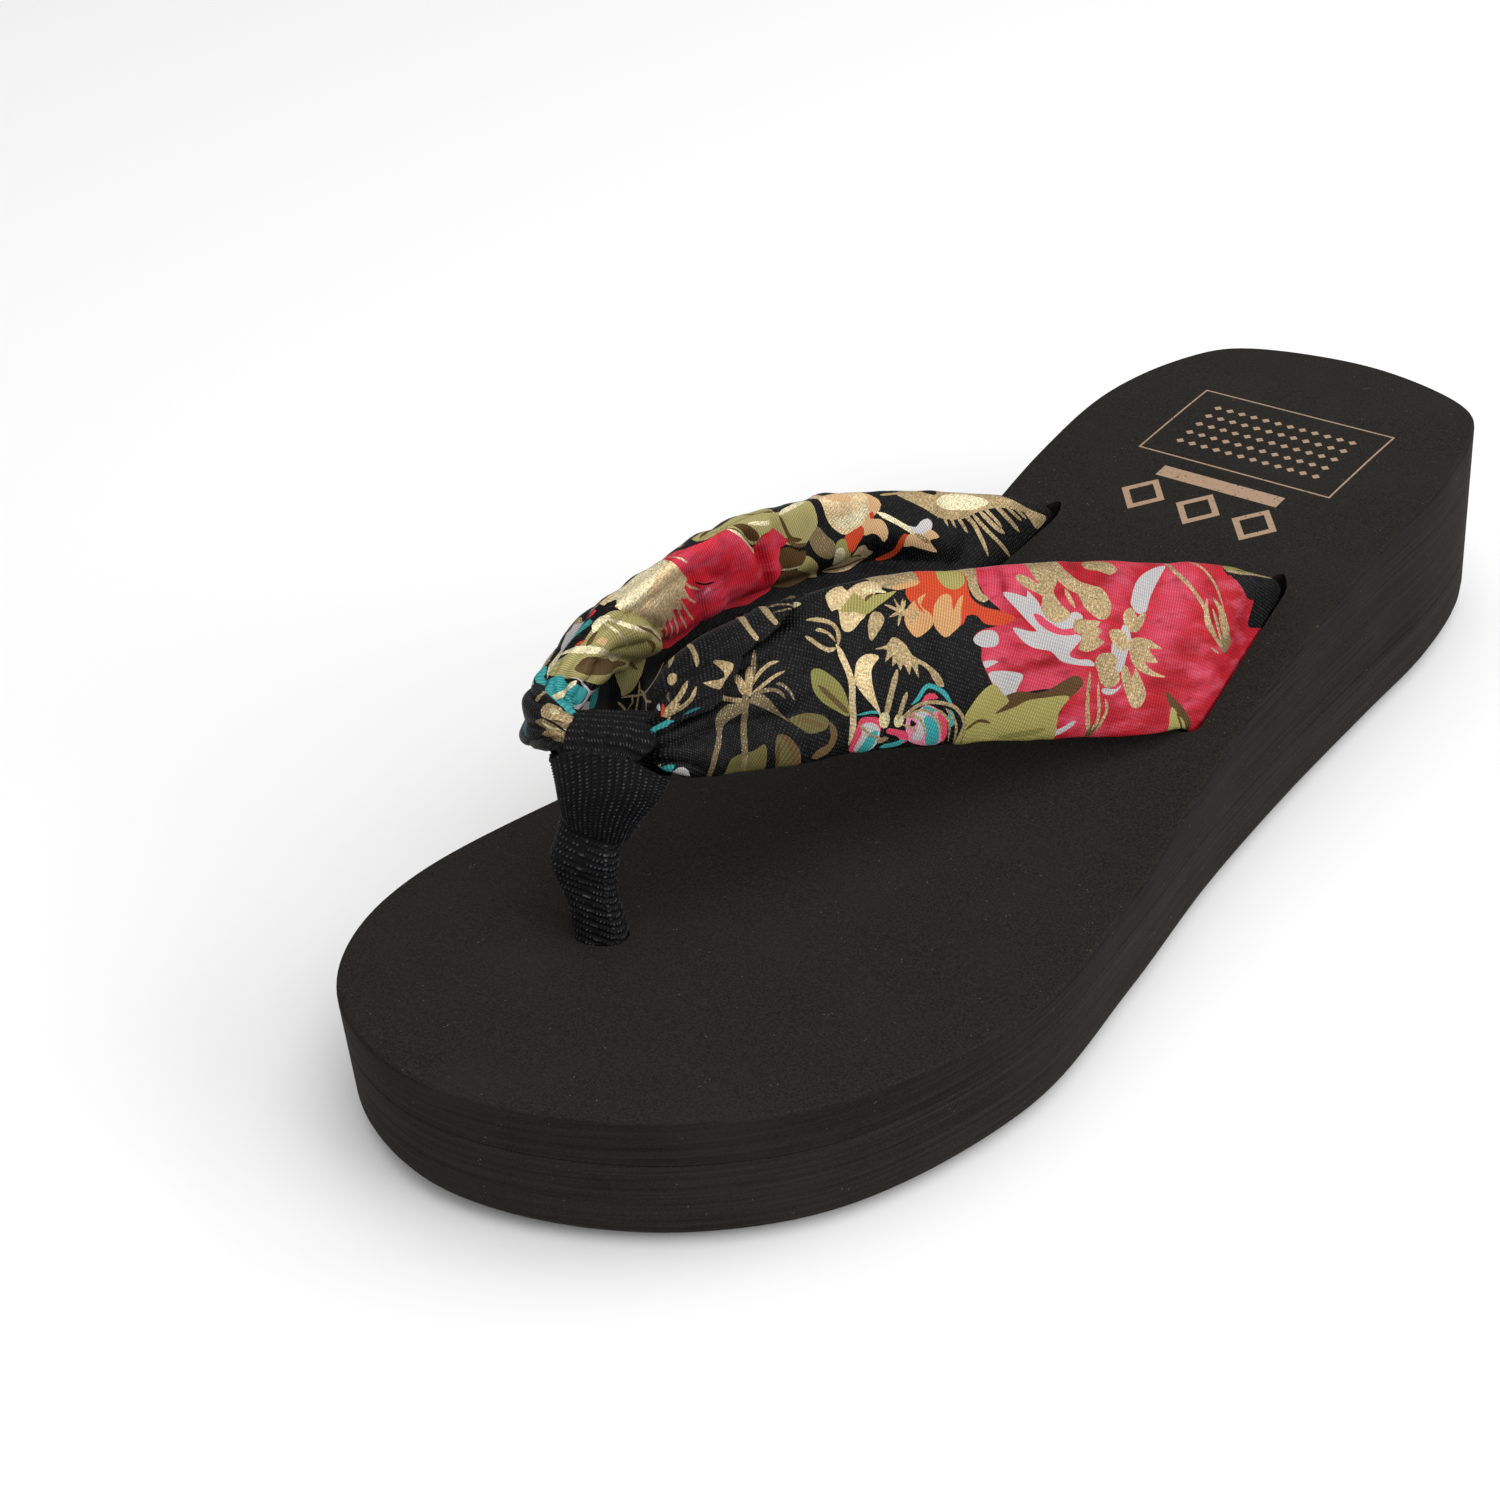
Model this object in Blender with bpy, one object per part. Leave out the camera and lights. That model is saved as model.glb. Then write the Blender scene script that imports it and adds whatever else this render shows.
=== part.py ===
"""A wedge flip-flop sandal for the left foot, standing empty on its sole.

Two layers of dense foam make the sole: an even sheet below, and above it a wedge that is thin
at the toes and thick at the heel. One soft flat fabric tube makes both straps. It comes up out
of a slit on each side of the footbed, and it is gathered in a webbing loop over the toe post.
A second strip of webbing is wrapped round the neck under the gathered straps.

The toe points to -Y, the outer side of the foot is +X, and Z is up. The origin is on the floor
under the middle of the sole. Sizes are in millimetres.
"""
import math

import bmesh
import bpy
import numpy as np

for old in list(bpy.data.objects):
    bpy.data.objects.remove(old)

MM = 0.001
GAP = 0.3

# The sole
LENGTH = 248.0
TOE_TIP_X = -12.5
HEEL_TIP_X = -1.0
STATIONS = 40
CURVE_STEPS = 24
BOTTOM_RADIUS = 5.0
BOTTOM_STEPS = 4
EDGE_RADIUS = 1.0
EDGE_STEPS = 2
TOE_SPRING = 0.8
SPRING_LENGTH = 34.0
SEAM_AT_TOE = 15.9
SEAM_AT_HEEL = 12.4

# Columns: from the toe tip, inner edge, outer edge, height of the footbed
SOLE_ROWS = (
    (5.0, -32.2, 8.4, 24.5),
    (18.0, -44.6, 28.2, 23.8),
    (38.0, -49.9, 42.8, 22.5),
    (68.0, -47.6, 49.9, 20.6),
    (98.0, -39.3, 46.4, 20.8),
    (128.0, -33.4, 41.2, 25.4),
    (158.0, -33.2, 37.9, 31.2),
    (188.0, -36.8, 35.9, 35.6),
    (212.0, -38.5, 34.4, 37.4),
    (232.0, -33.9, 29.8, 38.0),
    (243.0, -24.6, 21.4, 38.1),
)

# The slits that the strap comes out of: front end and rear end of each
SLIT_WIDTH = 5.0
SLIT_FLOOR = 16.6
SLIT_END_STEPS = 6
ABOVE_FOOTBED = 45.0
OUTER_SLIT = ((30.9, 12.9), (24.6, 49.8))
INNER_SLIT = ((-25.1, 15.5), (-23.5, 49.8))

# The strap, from deep in the outer slit, through the toe loop, to deep in the inner slit.
# Columns: lower edge x, y, z, upper edge x, y, z, thickness, outward bulge
STRAP_ROWS = (
    (31.3, 11.0, 17.0, 24.9, 48.8, 17.0, 3.8, 0.0),
    (31.3, 11.0, 22.5, 24.9, 48.8, 27.0, 3.8, 0.0),
    (31.3, 11.0, 26.8, 24.9, 48.8, 34.0, 3.8, 0.0),
    (27.4, 2.5, 28.6, 24.9, 36.0, 43.0, 4.2, 0.6),
    (20.6, -6.5, 30.6, 18.6, 22.5, 48.8, 4.4, 1.4),
    (14.6, -16.5, 33.2, 11.0, 7.0, 54.0, 4.6, 2.2),
    (9.2, -27.0, 36.2, 3.6, -8.5, 58.0, 4.8, 2.6),
    (4.0, -38.0, 39.0, -4.2, -22.5, 60.6, 5.0, 2.6),
    (-0.6, -49.0, 41.1, -9.8, -36.0, 61.4, 5.4, 2.2),
    (-3.8, -58.0, 43.3, -13.2, -48.5, 59.8, 6.0, 1.4),
    (-5.8, -64.0, 45.2, -14.2, -56.0, 57.0, 5.8, 0.6),
    (-7.6, -67.2, 46.9, -13.6, -60.0, 52.8, 5.2, 0.0),
    (-10.4, -68.9, 48.4, -15.0, -61.9, 49.2, 4.4, 0.0),
    (-16.5, -73.0, 48.2, -21.1, -65.6, 49.2, 4.4, 0.0),
    (-22.4, -76.6, 48.2, -27.0, -69.6, 49.2, 4.4, 0.0),
    (-25.8, -77.2, 47.6, -28.6, -70.2, 51.6, 5.2, 0.0),
    (-30.4, -75.0, 46.4, -32.6, -67.8, 54.2, 6.2, 0.4),
    (-34.0, -69.4, 42.6, -34.4, -62.6, 57.0, 6.6, 0.8),
    (-38.4, -59.8, 38.4, -34.4, -53.6, 60.4, 6.4, 1.4),
    (-40.2, -49.5, 35.0, -33.6, -42.0, 62.4, 5.6, 2.0),
    (-40.6, -39.0, 33.0, -34.4, -28.0, 61.8, 5.2, 2.2),
    (-39.8, -28.5, 31.4, -35.8, -13.5, 58.8, 5.0, 2.2),
    (-37.4, -18.0, 30.0, -36.8, 0.5, 54.6, 4.8, 1.8),
    (-34.2, -8.0, 28.8, -36.0, 15.0, 49.4, 4.6, 1.2),
    (-30.6, 1.0, 27.8, -32.2, 28.0, 44.6, 4.4, 0.6),
    (-27.2, 8.0, 27.5, -26.8, 39.6, 39.6, 4.0, 0.2),
    (-25.2, 13.6, 27.6, -23.6, 48.8, 34.0, 3.8, 0.0),
    (-25.2, 13.6, 22.5, -23.6, 48.8, 27.0, 3.8, 0.0),
    (-25.2, 13.6, 17.0, -23.6, 48.8, 17.0, 3.8, 0.0),
)
STRAP_STEPS = 4
STRAP_AROUND = 22
STRAP_SQUARENESS = 3.0

# Pleats of the strap: the row where they are deepest, how many rows they spread over, how many
# there are across the strap, and their depth
PLEATS = (
    (8.6, 1.8, 3.0, 0.7),
    (17.6, 1.8, 2.5, 0.8),
)

# The toe post, from deep in its hole to inside the loop.
# Columns: centre x, y, z, half width across, half width along the foot
POST_ROWS = (
    (-13.8, -81.2, 8.8, 2.8, 5.0),
    (-13.8, -81.2, 22.6, 2.8, 5.0),
    (-14.9, -80.6, 28.0, 2.6, 4.3),
    (-17.3, -79.2, 35.0, 4.5, 5.6),
    (-18.4, -76.6, 40.0, 4.1, 4.9),
    (-18.9, -71.9, 46.6, 5.6, 4.2),
)
POST_STEPS = 3
POST_AROUND = 24
POST_HOLE_FLOOR = 8.4
POST_HOLE_CLEARANCE = 0.5
LOOP_CENTRE = (-18.8, -69.3, 48.7)
LOOP_TURN = math.radians(33.0)
LOOP_WIDTH = 13.4
LOOP_INSIDE = (5.4, 3.2)
LOOP_WALL = 1.2
LOOP_CUTTER_WIDTH = 22.0
LOOP_ROUNDING = 0.8

# The wrap round the neck of the post, turned like the loop.
# Columns: height at the sides and back, extra height at the front, centre x, y, half widths
WRAP_ROWS = (
    (41.0, 0.6, -18.5, -76.1, 6.0, 6.9),
    (42.2, 2.6, -18.2, -74.5, 7.2, 7.4),
    (43.3, 5.0, -17.6, -71.8, 9.2, 8.7),
    (44.4, 6.8, -18.6, -69.5, 10.4, 9.2),
)
WRAP_WALL = 1.2
WRAP_AROUND = 28
WRAP_ROUNDING = 0.7


def material(name, colour, roughness, metallic=0.0):
    made = bpy.data.materials.new(name)
    made.use_nodes = True
    shader = made.node_tree.nodes["Principled BSDF"]
    shader.inputs["Base Color"].default_value = (*colour, 1.0)
    shader.inputs["Roughness"].default_value = roughness
    shader.inputs["Metallic"].default_value = metallic
    return made


def finish(bm, name, look):
    """Turn a bmesh in millimetres into an object in metres, shaded smooth."""
    bmesh.ops.remove_doubles(bm, verts=bm.verts, dist=0.0005)
    bmesh.ops.recalc_face_normals(bm, faces=bm.faces)
    bmesh.ops.scale(bm, vec=(MM, MM, MM), verts=bm.verts)
    mesh = bpy.data.meshes.new(name)
    bm.to_mesh(mesh)
    bm.free()
    mesh.shade_smooth()
    mesh.set_sharp_from_angle(angle=math.radians(40))
    mesh.materials.append(look)
    made = bpy.data.objects.new(name, mesh)
    bpy.context.scene.collection.objects.link(made)
    return made


def ring(bm, points):
    verts = [bm.verts.new(point) for point in points]
    return [bm.edges.new(pair) for pair in zip(verts, verts[1:] + verts[:1])]


def loft(rings, closed_ends=True):
    """Skin a row of rings, and fill its two ends or join the last ring to the first."""
    bm = bmesh.new()
    loops = [ring(bm, points) for points in rings]
    for first, second in zip(loops, loops[1:]):
        bmesh.ops.bridge_loops(bm, edges=first + second)
    if closed_ends:
        bmesh.ops.contextual_create(bm, geom=loops[0])
        bmesh.ops.contextual_create(bm, geom=loops[-1])
    else:
        bmesh.ops.bridge_loops(bm, edges=loops[-1] + loops[0])
    return bm


def cut(target, cutter):
    """Take the cutter's shape out of the target."""
    cutter.hide_render = True
    cutter.display_type = "WIRE"
    modifier = target.modifiers.new(cutter.name, "BOOLEAN")
    modifier.operation = "DIFFERENCE"
    modifier.object = cutter


def smooth_through(rows, steps):
    """Read a smooth curve through the rows, with so many steps from one row to the next."""
    rows = np.asarray(rows, float)
    ends = np.vstack([2 * rows[0] - rows[1], rows, 2 * rows[-1] - rows[-2]])
    out = []
    for at in range(len(rows) - 1):
        before, here, there, after = ends[at:at + 4]
        for step in range(steps):
            t = step / steps
            out.append(0.5 * (2 * here + (there - before) * t
                              + (2 * before - 5 * here + 4 * there - after) * t ** 2
                              + (3 * here - before - 3 * there + after) * t ** 3))
    out.append(rows[-1])
    return np.array(out)


# The sole's outline and heights
def side_curve(column, tip_x, heel_x):
    """The edge of one side as x for any y, smooth round the toe and the heel."""
    across = [(tip_x, -LENGTH / 2)]
    across += [(row[column], row[0] - LENGTH / 2) for row in SOLE_ROWS]
    across += [(heel_x, LENGTH / 2)]
    other = 3 - column
    first = (SOLE_ROWS[0][other], SOLE_ROWS[0][0] - LENGTH / 2)
    last = (SOLE_ROWS[-1][other], SOLE_ROWS[-1][0] - LENGTH / 2)
    curve = smooth_through([first] + across + [last], CURVE_STEPS)[CURVE_STEPS:-CURVE_STEPS]
    return lambda y: float(np.interp(y, curve[:, 1], curve[:, 0]))


inner_edge = side_curve(1, TOE_TIP_X, HEEL_TIP_X)
outer_edge = side_curve(2, TOE_TIP_X, HEEL_TIP_X)

height_rows = [(row[0] - LENGTH / 2, row[3]) for row in SOLE_ROWS]
height_curve = smooth_through(height_rows, CURVE_STEPS)


def footbed(y):
    return float(np.interp(y, height_curve[:, 0], height_curve[:, 1]))


def floor_lift(y):
    """The toe spring: how far the underside rises off the floor."""
    return TOE_SPRING * max(0.0, (SPRING_LENGTH - LENGTH / 2 - y) / SPRING_LENGTH) ** 2


def seam(y):
    along = (y + LENGTH / 2) / LENGTH
    return SEAM_AT_TOE + (SEAM_AT_HEEL - SEAM_AT_TOE) * along + floor_lift(y)


def outline():
    """Points round the sole from the toe tip, by the outer side, and their outward normals."""
    ys = [-LENGTH / 2 * math.cos(math.pi * step / STATIONS) for step in range(1, STATIONS)]
    points = [(TOE_TIP_X, -LENGTH / 2)]
    points += [(outer_edge(y), y) for y in ys]
    points += [(HEEL_TIP_X, LENGTH / 2)]
    points += [(inner_edge(y), y) for y in reversed(ys)]
    points = np.array(points)
    along = np.roll(points, -1, axis=0) - np.roll(points, 1, axis=0)
    along /= np.linalg.norm(along, axis=1)[:, None]
    return points, np.column_stack([along[:, 1], -along[:, 0]])


def sole_layer(name, levels, look):
    """A layer from (inset, height function) levels, bottom to top, with quads across its ends."""
    points, normals = outline()
    bm = bmesh.new()
    loops = []
    for inset, height in levels:
        moved = points - normals * inset
        loops.append(ring(bm, [(x, y, height(y)) for x, y in moved]))
    for first, second in zip(loops, loops[1:]):
        bmesh.ops.bridge_loops(bm, edges=first + second)
    half = len(points) // 2
    for loop in (loops[0], loops[-1]):
        bmesh.ops.bridge_loops(bm, edges=loop[1:half - 1] + loop[half + 1:-1])
        toe = [loop[0], loop[-1]]
        heel = [loop[half - 1], loop[half]]
        for tip in (toe, heel):
            bmesh.ops.contextual_create(bm, geom=tip)
    return finish(bm, name, look)


def slit_cutter(name, slit):
    """An upright slot with round ends, from the slit's floor to above the footbed."""
    (x0, y0), (x1, y1) = slit
    along = math.atan2(y1 - y0, x1 - x0)
    radius = SLIT_WIDTH / 2
    footprint = []
    for step in range(SLIT_END_STEPS + 1):
        turn = along + math.pi / 2 + math.pi * step / SLIT_END_STEPS
        footprint.append((x0 + radius * math.cos(turn), y0 + radius * math.sin(turn)))
    for step in range(SLIT_END_STEPS + 1):
        turn = along - math.pi / 2 + math.pi * step / SLIT_END_STEPS
        footprint.append((x1 + radius * math.cos(turn), y1 + radius * math.sin(turn)))
    rings = [[(x, y, z) for x, y in footprint] for z in (SLIT_FLOOR, ABOVE_FOOTBED)]
    return finish(loft(rings), name, foam)


# The strap
def pleat_depth(row, across):
    """Soft ridges along the strap, near its gathered places, for a place from -1 to 1."""
    depth = 0.0
    for centre, spread, count, height in PLEATS:
        near = math.exp(-((row - centre) / spread) ** 2)
        depth += height * near * math.cos(math.pi * count * across)
    return depth


def strap_rings():
    rows = smooth_through(STRAP_ROWS, STRAP_STEPS)
    lower, upper = rows[:, 0:3], rows[:, 3:6]
    middle = (lower + upper) / 2
    along = np.gradient(middle, axis=0)
    rings = []
    for at, row in enumerate(rows):
        across = upper[at] - lower[at]
        width = np.linalg.norm(across)
        across = across / width
        out = np.cross(across, along[at])
        out /= np.linalg.norm(out)
        half, thick, bulge = width / 2, row[6] / 2, row[7]
        points = []
        for step in range(STRAP_AROUND):
            turn = 2 * math.pi * step / STRAP_AROUND
            power = 2 / STRAP_SQUARENESS
            u = math.copysign(abs(math.cos(turn)) ** power, math.cos(turn))
            v = math.copysign(abs(math.sin(turn)) ** power, math.sin(turn))
            lift = bulge * (1 - u * u) + pleat_depth(at / STRAP_STEPS, u) * (1 - u ** 4)
            points.append(middle[at] + across * half * u + out * (thick * v + lift))
        rings.append(points)
    return rings


# The toe post and its loop
def ellipse(centre, half_x, half_y, count):
    turns = [2 * math.pi * step / count for step in range(count)]
    return [(centre[0] + half_x * math.cos(turn), centre[1] + half_y * math.sin(turn), centre[2])
            for turn in turns]


def post_rings():
    rows = smooth_through(POST_ROWS, POST_STEPS)
    return [ellipse(row[:3], row[3], row[4], POST_AROUND) for row in rows]


def turned(centre, along, front, z):
    """A point from its distances along the loop's axis and to its front."""
    cosine, sine = math.cos(LOOP_TURN), math.sin(LOOP_TURN)
    return (centre[0] + along * cosine + front * sine, centre[1] + along * sine - front * cosine, z)


def rounded(turn, power):
    """A unit circle's point, pulled out towards the corners of a square."""
    cosine, sine = math.cos(turn), math.sin(turn)
    return (math.copysign(abs(cosine) ** power, cosine), math.copysign(abs(sine) ** power, sine))


def loop_ring(grow, along):
    half_front, half_z = LOOP_INSIDE[0] + grow, LOOP_INSIDE[1] + grow
    points = []
    for step in range(POST_AROUND):
        front, up = rounded(2 * math.pi * step / POST_AROUND, LOOP_ROUNDING)
        z = LOOP_CENTRE[2] + half_z * up
        points.append(turned(LOOP_CENTRE, along, half_front * front, z))
    return points


def wrap_ring(row, shrink):
    side_z, extra, cx, cy, half_along, half_front = row
    points = []
    for step in range(WRAP_AROUND):
        along, front = rounded(2 * math.pi * step / WRAP_AROUND, WRAP_ROUNDING)
        z = side_z + extra * max(0.0, front) ** 3
        points.append(turned((cx, cy), (half_along - shrink) * along,
                             (half_front - shrink) * front, z))
    return points


foam = material("dense black foam", (0.023, 0.021, 0.019), 0.72)
foam_under = material("dense black foam, lower sheet", (0.018, 0.017, 0.016), 0.78)
fabric = material("printed black satin", (0.030, 0.028, 0.032), 0.55)
webbing = material("black ribbed webbing", (0.012, 0.012, 0.013), 0.70)

# The lower sheet of the sole, rounded along its bottom edge
lower_levels = []
for step in range(BOTTOM_STEPS + 1):
    turn = math.pi / 2 * step / BOTTOM_STEPS
    inset = BOTTOM_RADIUS * (1 - math.sin(turn))
    rise = BOTTOM_RADIUS * (1 - math.cos(turn))
    lower_levels.append((inset, lambda y, rise=rise: rise + floor_lift(y)))
lower_levels.append((0.0, lambda y: seam(y) - GAP / 2))
lower_sole = sole_layer("lower_sole", lower_levels, foam_under)

# The wedge, whose top is the footbed, with its top edge lightly rounded
wedge_levels = [(0.0, lambda y: seam(y) + GAP / 2)]
for step in range(EDGE_STEPS + 1):
    turn = math.pi / 2 * step / EDGE_STEPS
    inset = EDGE_RADIUS * (1 - math.cos(turn))
    drop = EDGE_RADIUS * (1 - math.sin(turn))
    wedge_levels.append((inset, lambda y, drop=drop: footbed(y) - drop))
wedge = sole_layer("wedge_footbed", wedge_levels, foam)
cut(wedge, slit_cutter("outer_slit_cutter", OUTER_SLIT))
cut(wedge, slit_cutter("inner_slit_cutter", INNER_SLIT))

# The hole of the toe post, through the wedge and part way into the sheet below
hole_x, hole_y = POST_ROWS[0][:2]
hole_half_x, hole_half_y = (half + POST_HOLE_CLEARANCE for half in POST_ROWS[0][3:])
hole_rings = [ellipse((hole_x, hole_y, z), hole_half_x, hole_half_y, POST_AROUND)
              for z in (POST_HOLE_FLOOR, ABOVE_FOOTBED)]
hole_cutter = finish(loft(hole_rings), "post_hole_cutter", foam)
cut(wedge, hole_cutter)
cut(lower_sole, hole_cutter)

strap = finish(loft(strap_rings()), "strap_upper", fabric)

post = finish(loft(post_rings()), "toe_post", webbing)
half_width = LOOP_WIDTH / 2
outside_rings = [loop_ring(LOOP_WALL, along) for along in (-half_width, half_width)]
outside = finish(loft(outside_rings), "loop_guide", webbing)
outside.hide_render = True
outside.display_type = "WIRE"
joined = post.modifiers.new("loop", "BOOLEAN")
joined.operation = "UNION"
joined.object = outside
half_cutter = LOOP_CUTTER_WIDTH / 2
inside_rings = [loop_ring(0.0, along) for along in (-half_cutter, half_cutter)]
inside = finish(loft(inside_rings), "loop_cutter", webbing)
cut(post, inside)

wrap_rings = [wrap_ring(row, 0.0) for row in WRAP_ROWS]
wrap_rings += [wrap_ring(row, WRAP_WALL) for row in reversed(WRAP_ROWS)]
neck_wrap = finish(loft(wrap_rings, closed_ends=False), "neck_wrap", webbing)
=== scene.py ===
"""The looks of the wedge flip-flop sandal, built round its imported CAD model.

Sizes are in millimetres unless a comment says otherwise, and pieces are scaled to metres as
they are finished. The toe points to -Y, the outer side of the foot is +X, and Z is up.
"""
import math

import bmesh
import bpy
import numpy as np
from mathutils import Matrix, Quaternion, Vector
from mathutils.geometry import delaunay_2d_cdt


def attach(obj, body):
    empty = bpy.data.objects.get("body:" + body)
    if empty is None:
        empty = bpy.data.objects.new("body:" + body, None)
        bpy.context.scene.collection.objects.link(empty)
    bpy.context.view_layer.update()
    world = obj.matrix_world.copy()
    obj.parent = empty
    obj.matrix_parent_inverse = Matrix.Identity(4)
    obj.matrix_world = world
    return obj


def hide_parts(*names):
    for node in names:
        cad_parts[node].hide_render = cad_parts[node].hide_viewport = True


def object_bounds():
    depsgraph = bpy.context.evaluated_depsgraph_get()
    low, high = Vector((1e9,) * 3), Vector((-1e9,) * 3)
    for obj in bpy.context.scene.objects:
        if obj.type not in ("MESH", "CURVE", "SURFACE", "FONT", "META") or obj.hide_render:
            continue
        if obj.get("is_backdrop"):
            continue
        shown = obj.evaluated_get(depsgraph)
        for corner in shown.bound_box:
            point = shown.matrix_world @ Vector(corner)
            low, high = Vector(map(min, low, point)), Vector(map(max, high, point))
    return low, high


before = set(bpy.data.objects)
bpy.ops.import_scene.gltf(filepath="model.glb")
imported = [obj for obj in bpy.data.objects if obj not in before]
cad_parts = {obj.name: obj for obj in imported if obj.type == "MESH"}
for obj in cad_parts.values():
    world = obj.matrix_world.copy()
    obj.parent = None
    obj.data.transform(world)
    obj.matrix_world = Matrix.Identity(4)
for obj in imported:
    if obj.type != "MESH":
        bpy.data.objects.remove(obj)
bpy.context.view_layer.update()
scene = bpy.context.scene

# The studio, in metres and watts: a pale floor, an even white sky, four broad soft lights above,
# in front, at the outer side and behind, and the camera at the photograph's place. None of it
# belongs to the sandal.
FLOOR_HALF = 15.0
FLOOR_COLOUR = (0.90, 0.90, 0.90)
SKY_STRENGTH = 0.66
# Columns: name, place, the point it faces, width, height, power
LIGHTS = (
    ("overhead_light", (0.25, 0.05, 1.30), (0.0, 0.0, 0.0), 1.1, 1.0, 5.0),
    ("front_light", (0.85, -0.35, 1.10), (0.0, 0.0, 0.02), 0.9, 0.8, 4.0),
    ("side_light", (1.35, 0.25, 0.60), (0.0, 0.0, 0.02), 0.8, 0.6, 7.0),
    ("back_light", (0.85, 1.15, 0.95), (0.0, 0.0, 0.03), 0.9, 0.7, 5.0),
)
CAMERA_PLACE = (0.22752, -0.28945, 0.26616)
CAMERA_LOOK = (-0.58412, 0.59142, -0.55589)
CAMERA_ROLL = math.radians(-5.56)
CAMERA_LENS = 61.94
CAMERA_FILM = 36.0
CAMERA_NEAREST = 0.01
CAMERA_FARTHEST = 20.0


class Socket:
    """One output of a shader node. Sums on it add Math nodes, and add() makes any other node."""

    def __init__(self, tree, end):
        self.tree = tree
        self.end = end

    def add(self, kind, settings=None, sockets=None, out=0):
        """A new node of a kind, with its settings, and the values or links of its sockets."""
        node = self.tree.nodes.new("ShaderNode" + kind)
        for key, value in (settings or {}).items():
            setattr(node, key, value)
        for key, value in (sockets or {}).items():
            if isinstance(value, Socket):
                self.tree.links.new(value.end, node.inputs[key])
            else:
                node.inputs[key].default_value = value
        return Socket(self.tree, node.outputs[out])

    def maths(self, operation, other=0.0, swapped=False):
        """A Math node on this value and another, the other one first where they are swapped."""
        first, second = (other, self) if swapped else (self, other)
        return self.add("Math", {"operation": operation}, {0: first, 1: second})

    def __add__(self, other):
        return self.maths("ADD", other)

    def __sub__(self, other):
        return self.maths("SUBTRACT", other)

    def __rsub__(self, other):
        return self.maths("SUBTRACT", other, swapped=True)

    def __mul__(self, other):
        return self.maths("MULTIPLY", other)

    def __truediv__(self, other):
        return self.maths("DIVIDE", other)

    def __mod__(self, other):
        return self.maths("FLOORED_MODULO", other)

    def __abs__(self):
        return self.maths("ABSOLUTE")

    def __gt__(self, other):
        return self.maths("GREATER_THAN", other)

    def __lt__(self, other):
        return self.maths("LESS_THAN", other)

    __radd__ = __add__
    __rmul__ = __mul__

    def apart(self, low, high):
        """0 below low, 1 above high, smooth between."""
        return self.add("MapRange", {"interpolation_type": "SMOOTHSTEP"},
                        {0: self, 1: low, 2: high, 3: 0.0, 4: 1.0})

    def mix(self, low, high, blend="MIX"):
        """A colour between two others, by this value."""
        return self.add("Mix", {"data_type": "RGBA", "blend_type": blend},
                        {0: self, 6: colour(low), 7: colour(high)}, out=2)

    def noise(self, scale, detail, roughness):
        """Noise read at this place."""
        return self.add("TexNoise", None, {"Vector": self, "Scale": scale, "Detail": detail,
                                           "Roughness": roughness})

    def stretched(self, scale):
        """This place, stretched along its axes."""
        return self.add("Mapping", None, {"Vector": self, "Scale": scale})


def colour(value):
    return value if isinstance(value, Socket) else (*value, 1.0)


class Finish:
    """A new material, with its shader and its way in to the other nodes."""

    def __init__(self, name, **constants):
        self.material = bpy.data.materials.new(name)
        self.material.use_nodes = True
        self.tree = self.material.node_tree
        self.shader = self.tree.nodes["Principled BSDF"]
        for key, value in constants.items():
            self.shader.inputs[key.replace("_", " ")].default_value = value
        self.start = Socket(self.tree, None)
        self.place = self.start.add("TexCoord", out=3)

    def in_mm(self, place, unit):
        """The first two parts of a place, in millimetres, where its own unit is so many."""
        node = self.start.add("SeparateXYZ", None, {0: place}).end.node
        return [Socket(self.tree, node.outputs[at]) * unit for at in (0, 1)]

    def feed(self, bump=None, **values):
        """Link values to the shader's sockets, and a relief of (height, distance, strength)."""
        for key, value in values.items():
            self.tree.links.new(value.end, self.shader.inputs[key.replace("_", " ")])
        if bump:
            height, distance, strength = bump
            normal = self.start.add("Bump", None, {"Height": height, "Distance": distance,
                                                   "Strength": strength})
            self.tree.links.new(normal.end, self.shader.inputs["Normal"])


bm = bmesh.new()
bmesh.ops.create_grid(bm, x_segments=1, y_segments=1, size=FLOOR_HALF)
floor_mesh = bpy.data.meshes.new("floor")
bm.to_mesh(floor_mesh)
bm.free()
floor = bpy.data.objects.new("floor", floor_mesh)
scene.collection.objects.link(floor)
floor_finish = Finish("studio floor", Base_Color=(*FLOOR_COLOUR, 1.0), Roughness=0.9)
floor_mesh.materials.append(floor_finish.material)
floor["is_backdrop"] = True

for name, place, target, width, height, power in LIGHTS:
    lamp = bpy.data.lights.new(name, "AREA")
    lamp.shape = "RECTANGLE"
    lamp.size = width
    lamp.size_y = height
    lamp.energy = power
    holder = bpy.data.objects.new(name, lamp)
    holder.location = place
    facing = Vector(target) - Vector(place)
    holder.rotation_mode = "QUATERNION"
    holder.rotation_quaternion = facing.to_track_quat("-Z", "Y")
    scene.collection.objects.link(holder)

world = bpy.data.worlds.new("studio")
world.use_nodes = True
world.node_tree.nodes["Background"].inputs["Color"].default_value = (1.0, 1.0, 1.0, 1.0)
world.node_tree.nodes["Background"].inputs["Strength"].default_value = SKY_STRENGTH
scene.world = world

camera_data = bpy.data.cameras.new("camera")
camera_data.lens = CAMERA_LENS
camera_data.sensor_width = CAMERA_FILM
camera_data.clip_start = CAMERA_NEAREST
camera_data.clip_end = CAMERA_FARTHEST
camera = bpy.data.objects.new("camera", camera_data)
camera.location = CAMERA_PLACE
camera.rotation_mode = "QUATERNION"
upright = Vector(CAMERA_LOOK).to_track_quat("-Z", "Y")
camera.rotation_quaternion = upright @ Quaternion((0.0, 0.0, 1.0), CAMERA_ROLL)
scene.collection.objects.link(camera)
scene.camera = camera
scene.view_settings.view_transform = "Standard"


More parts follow.
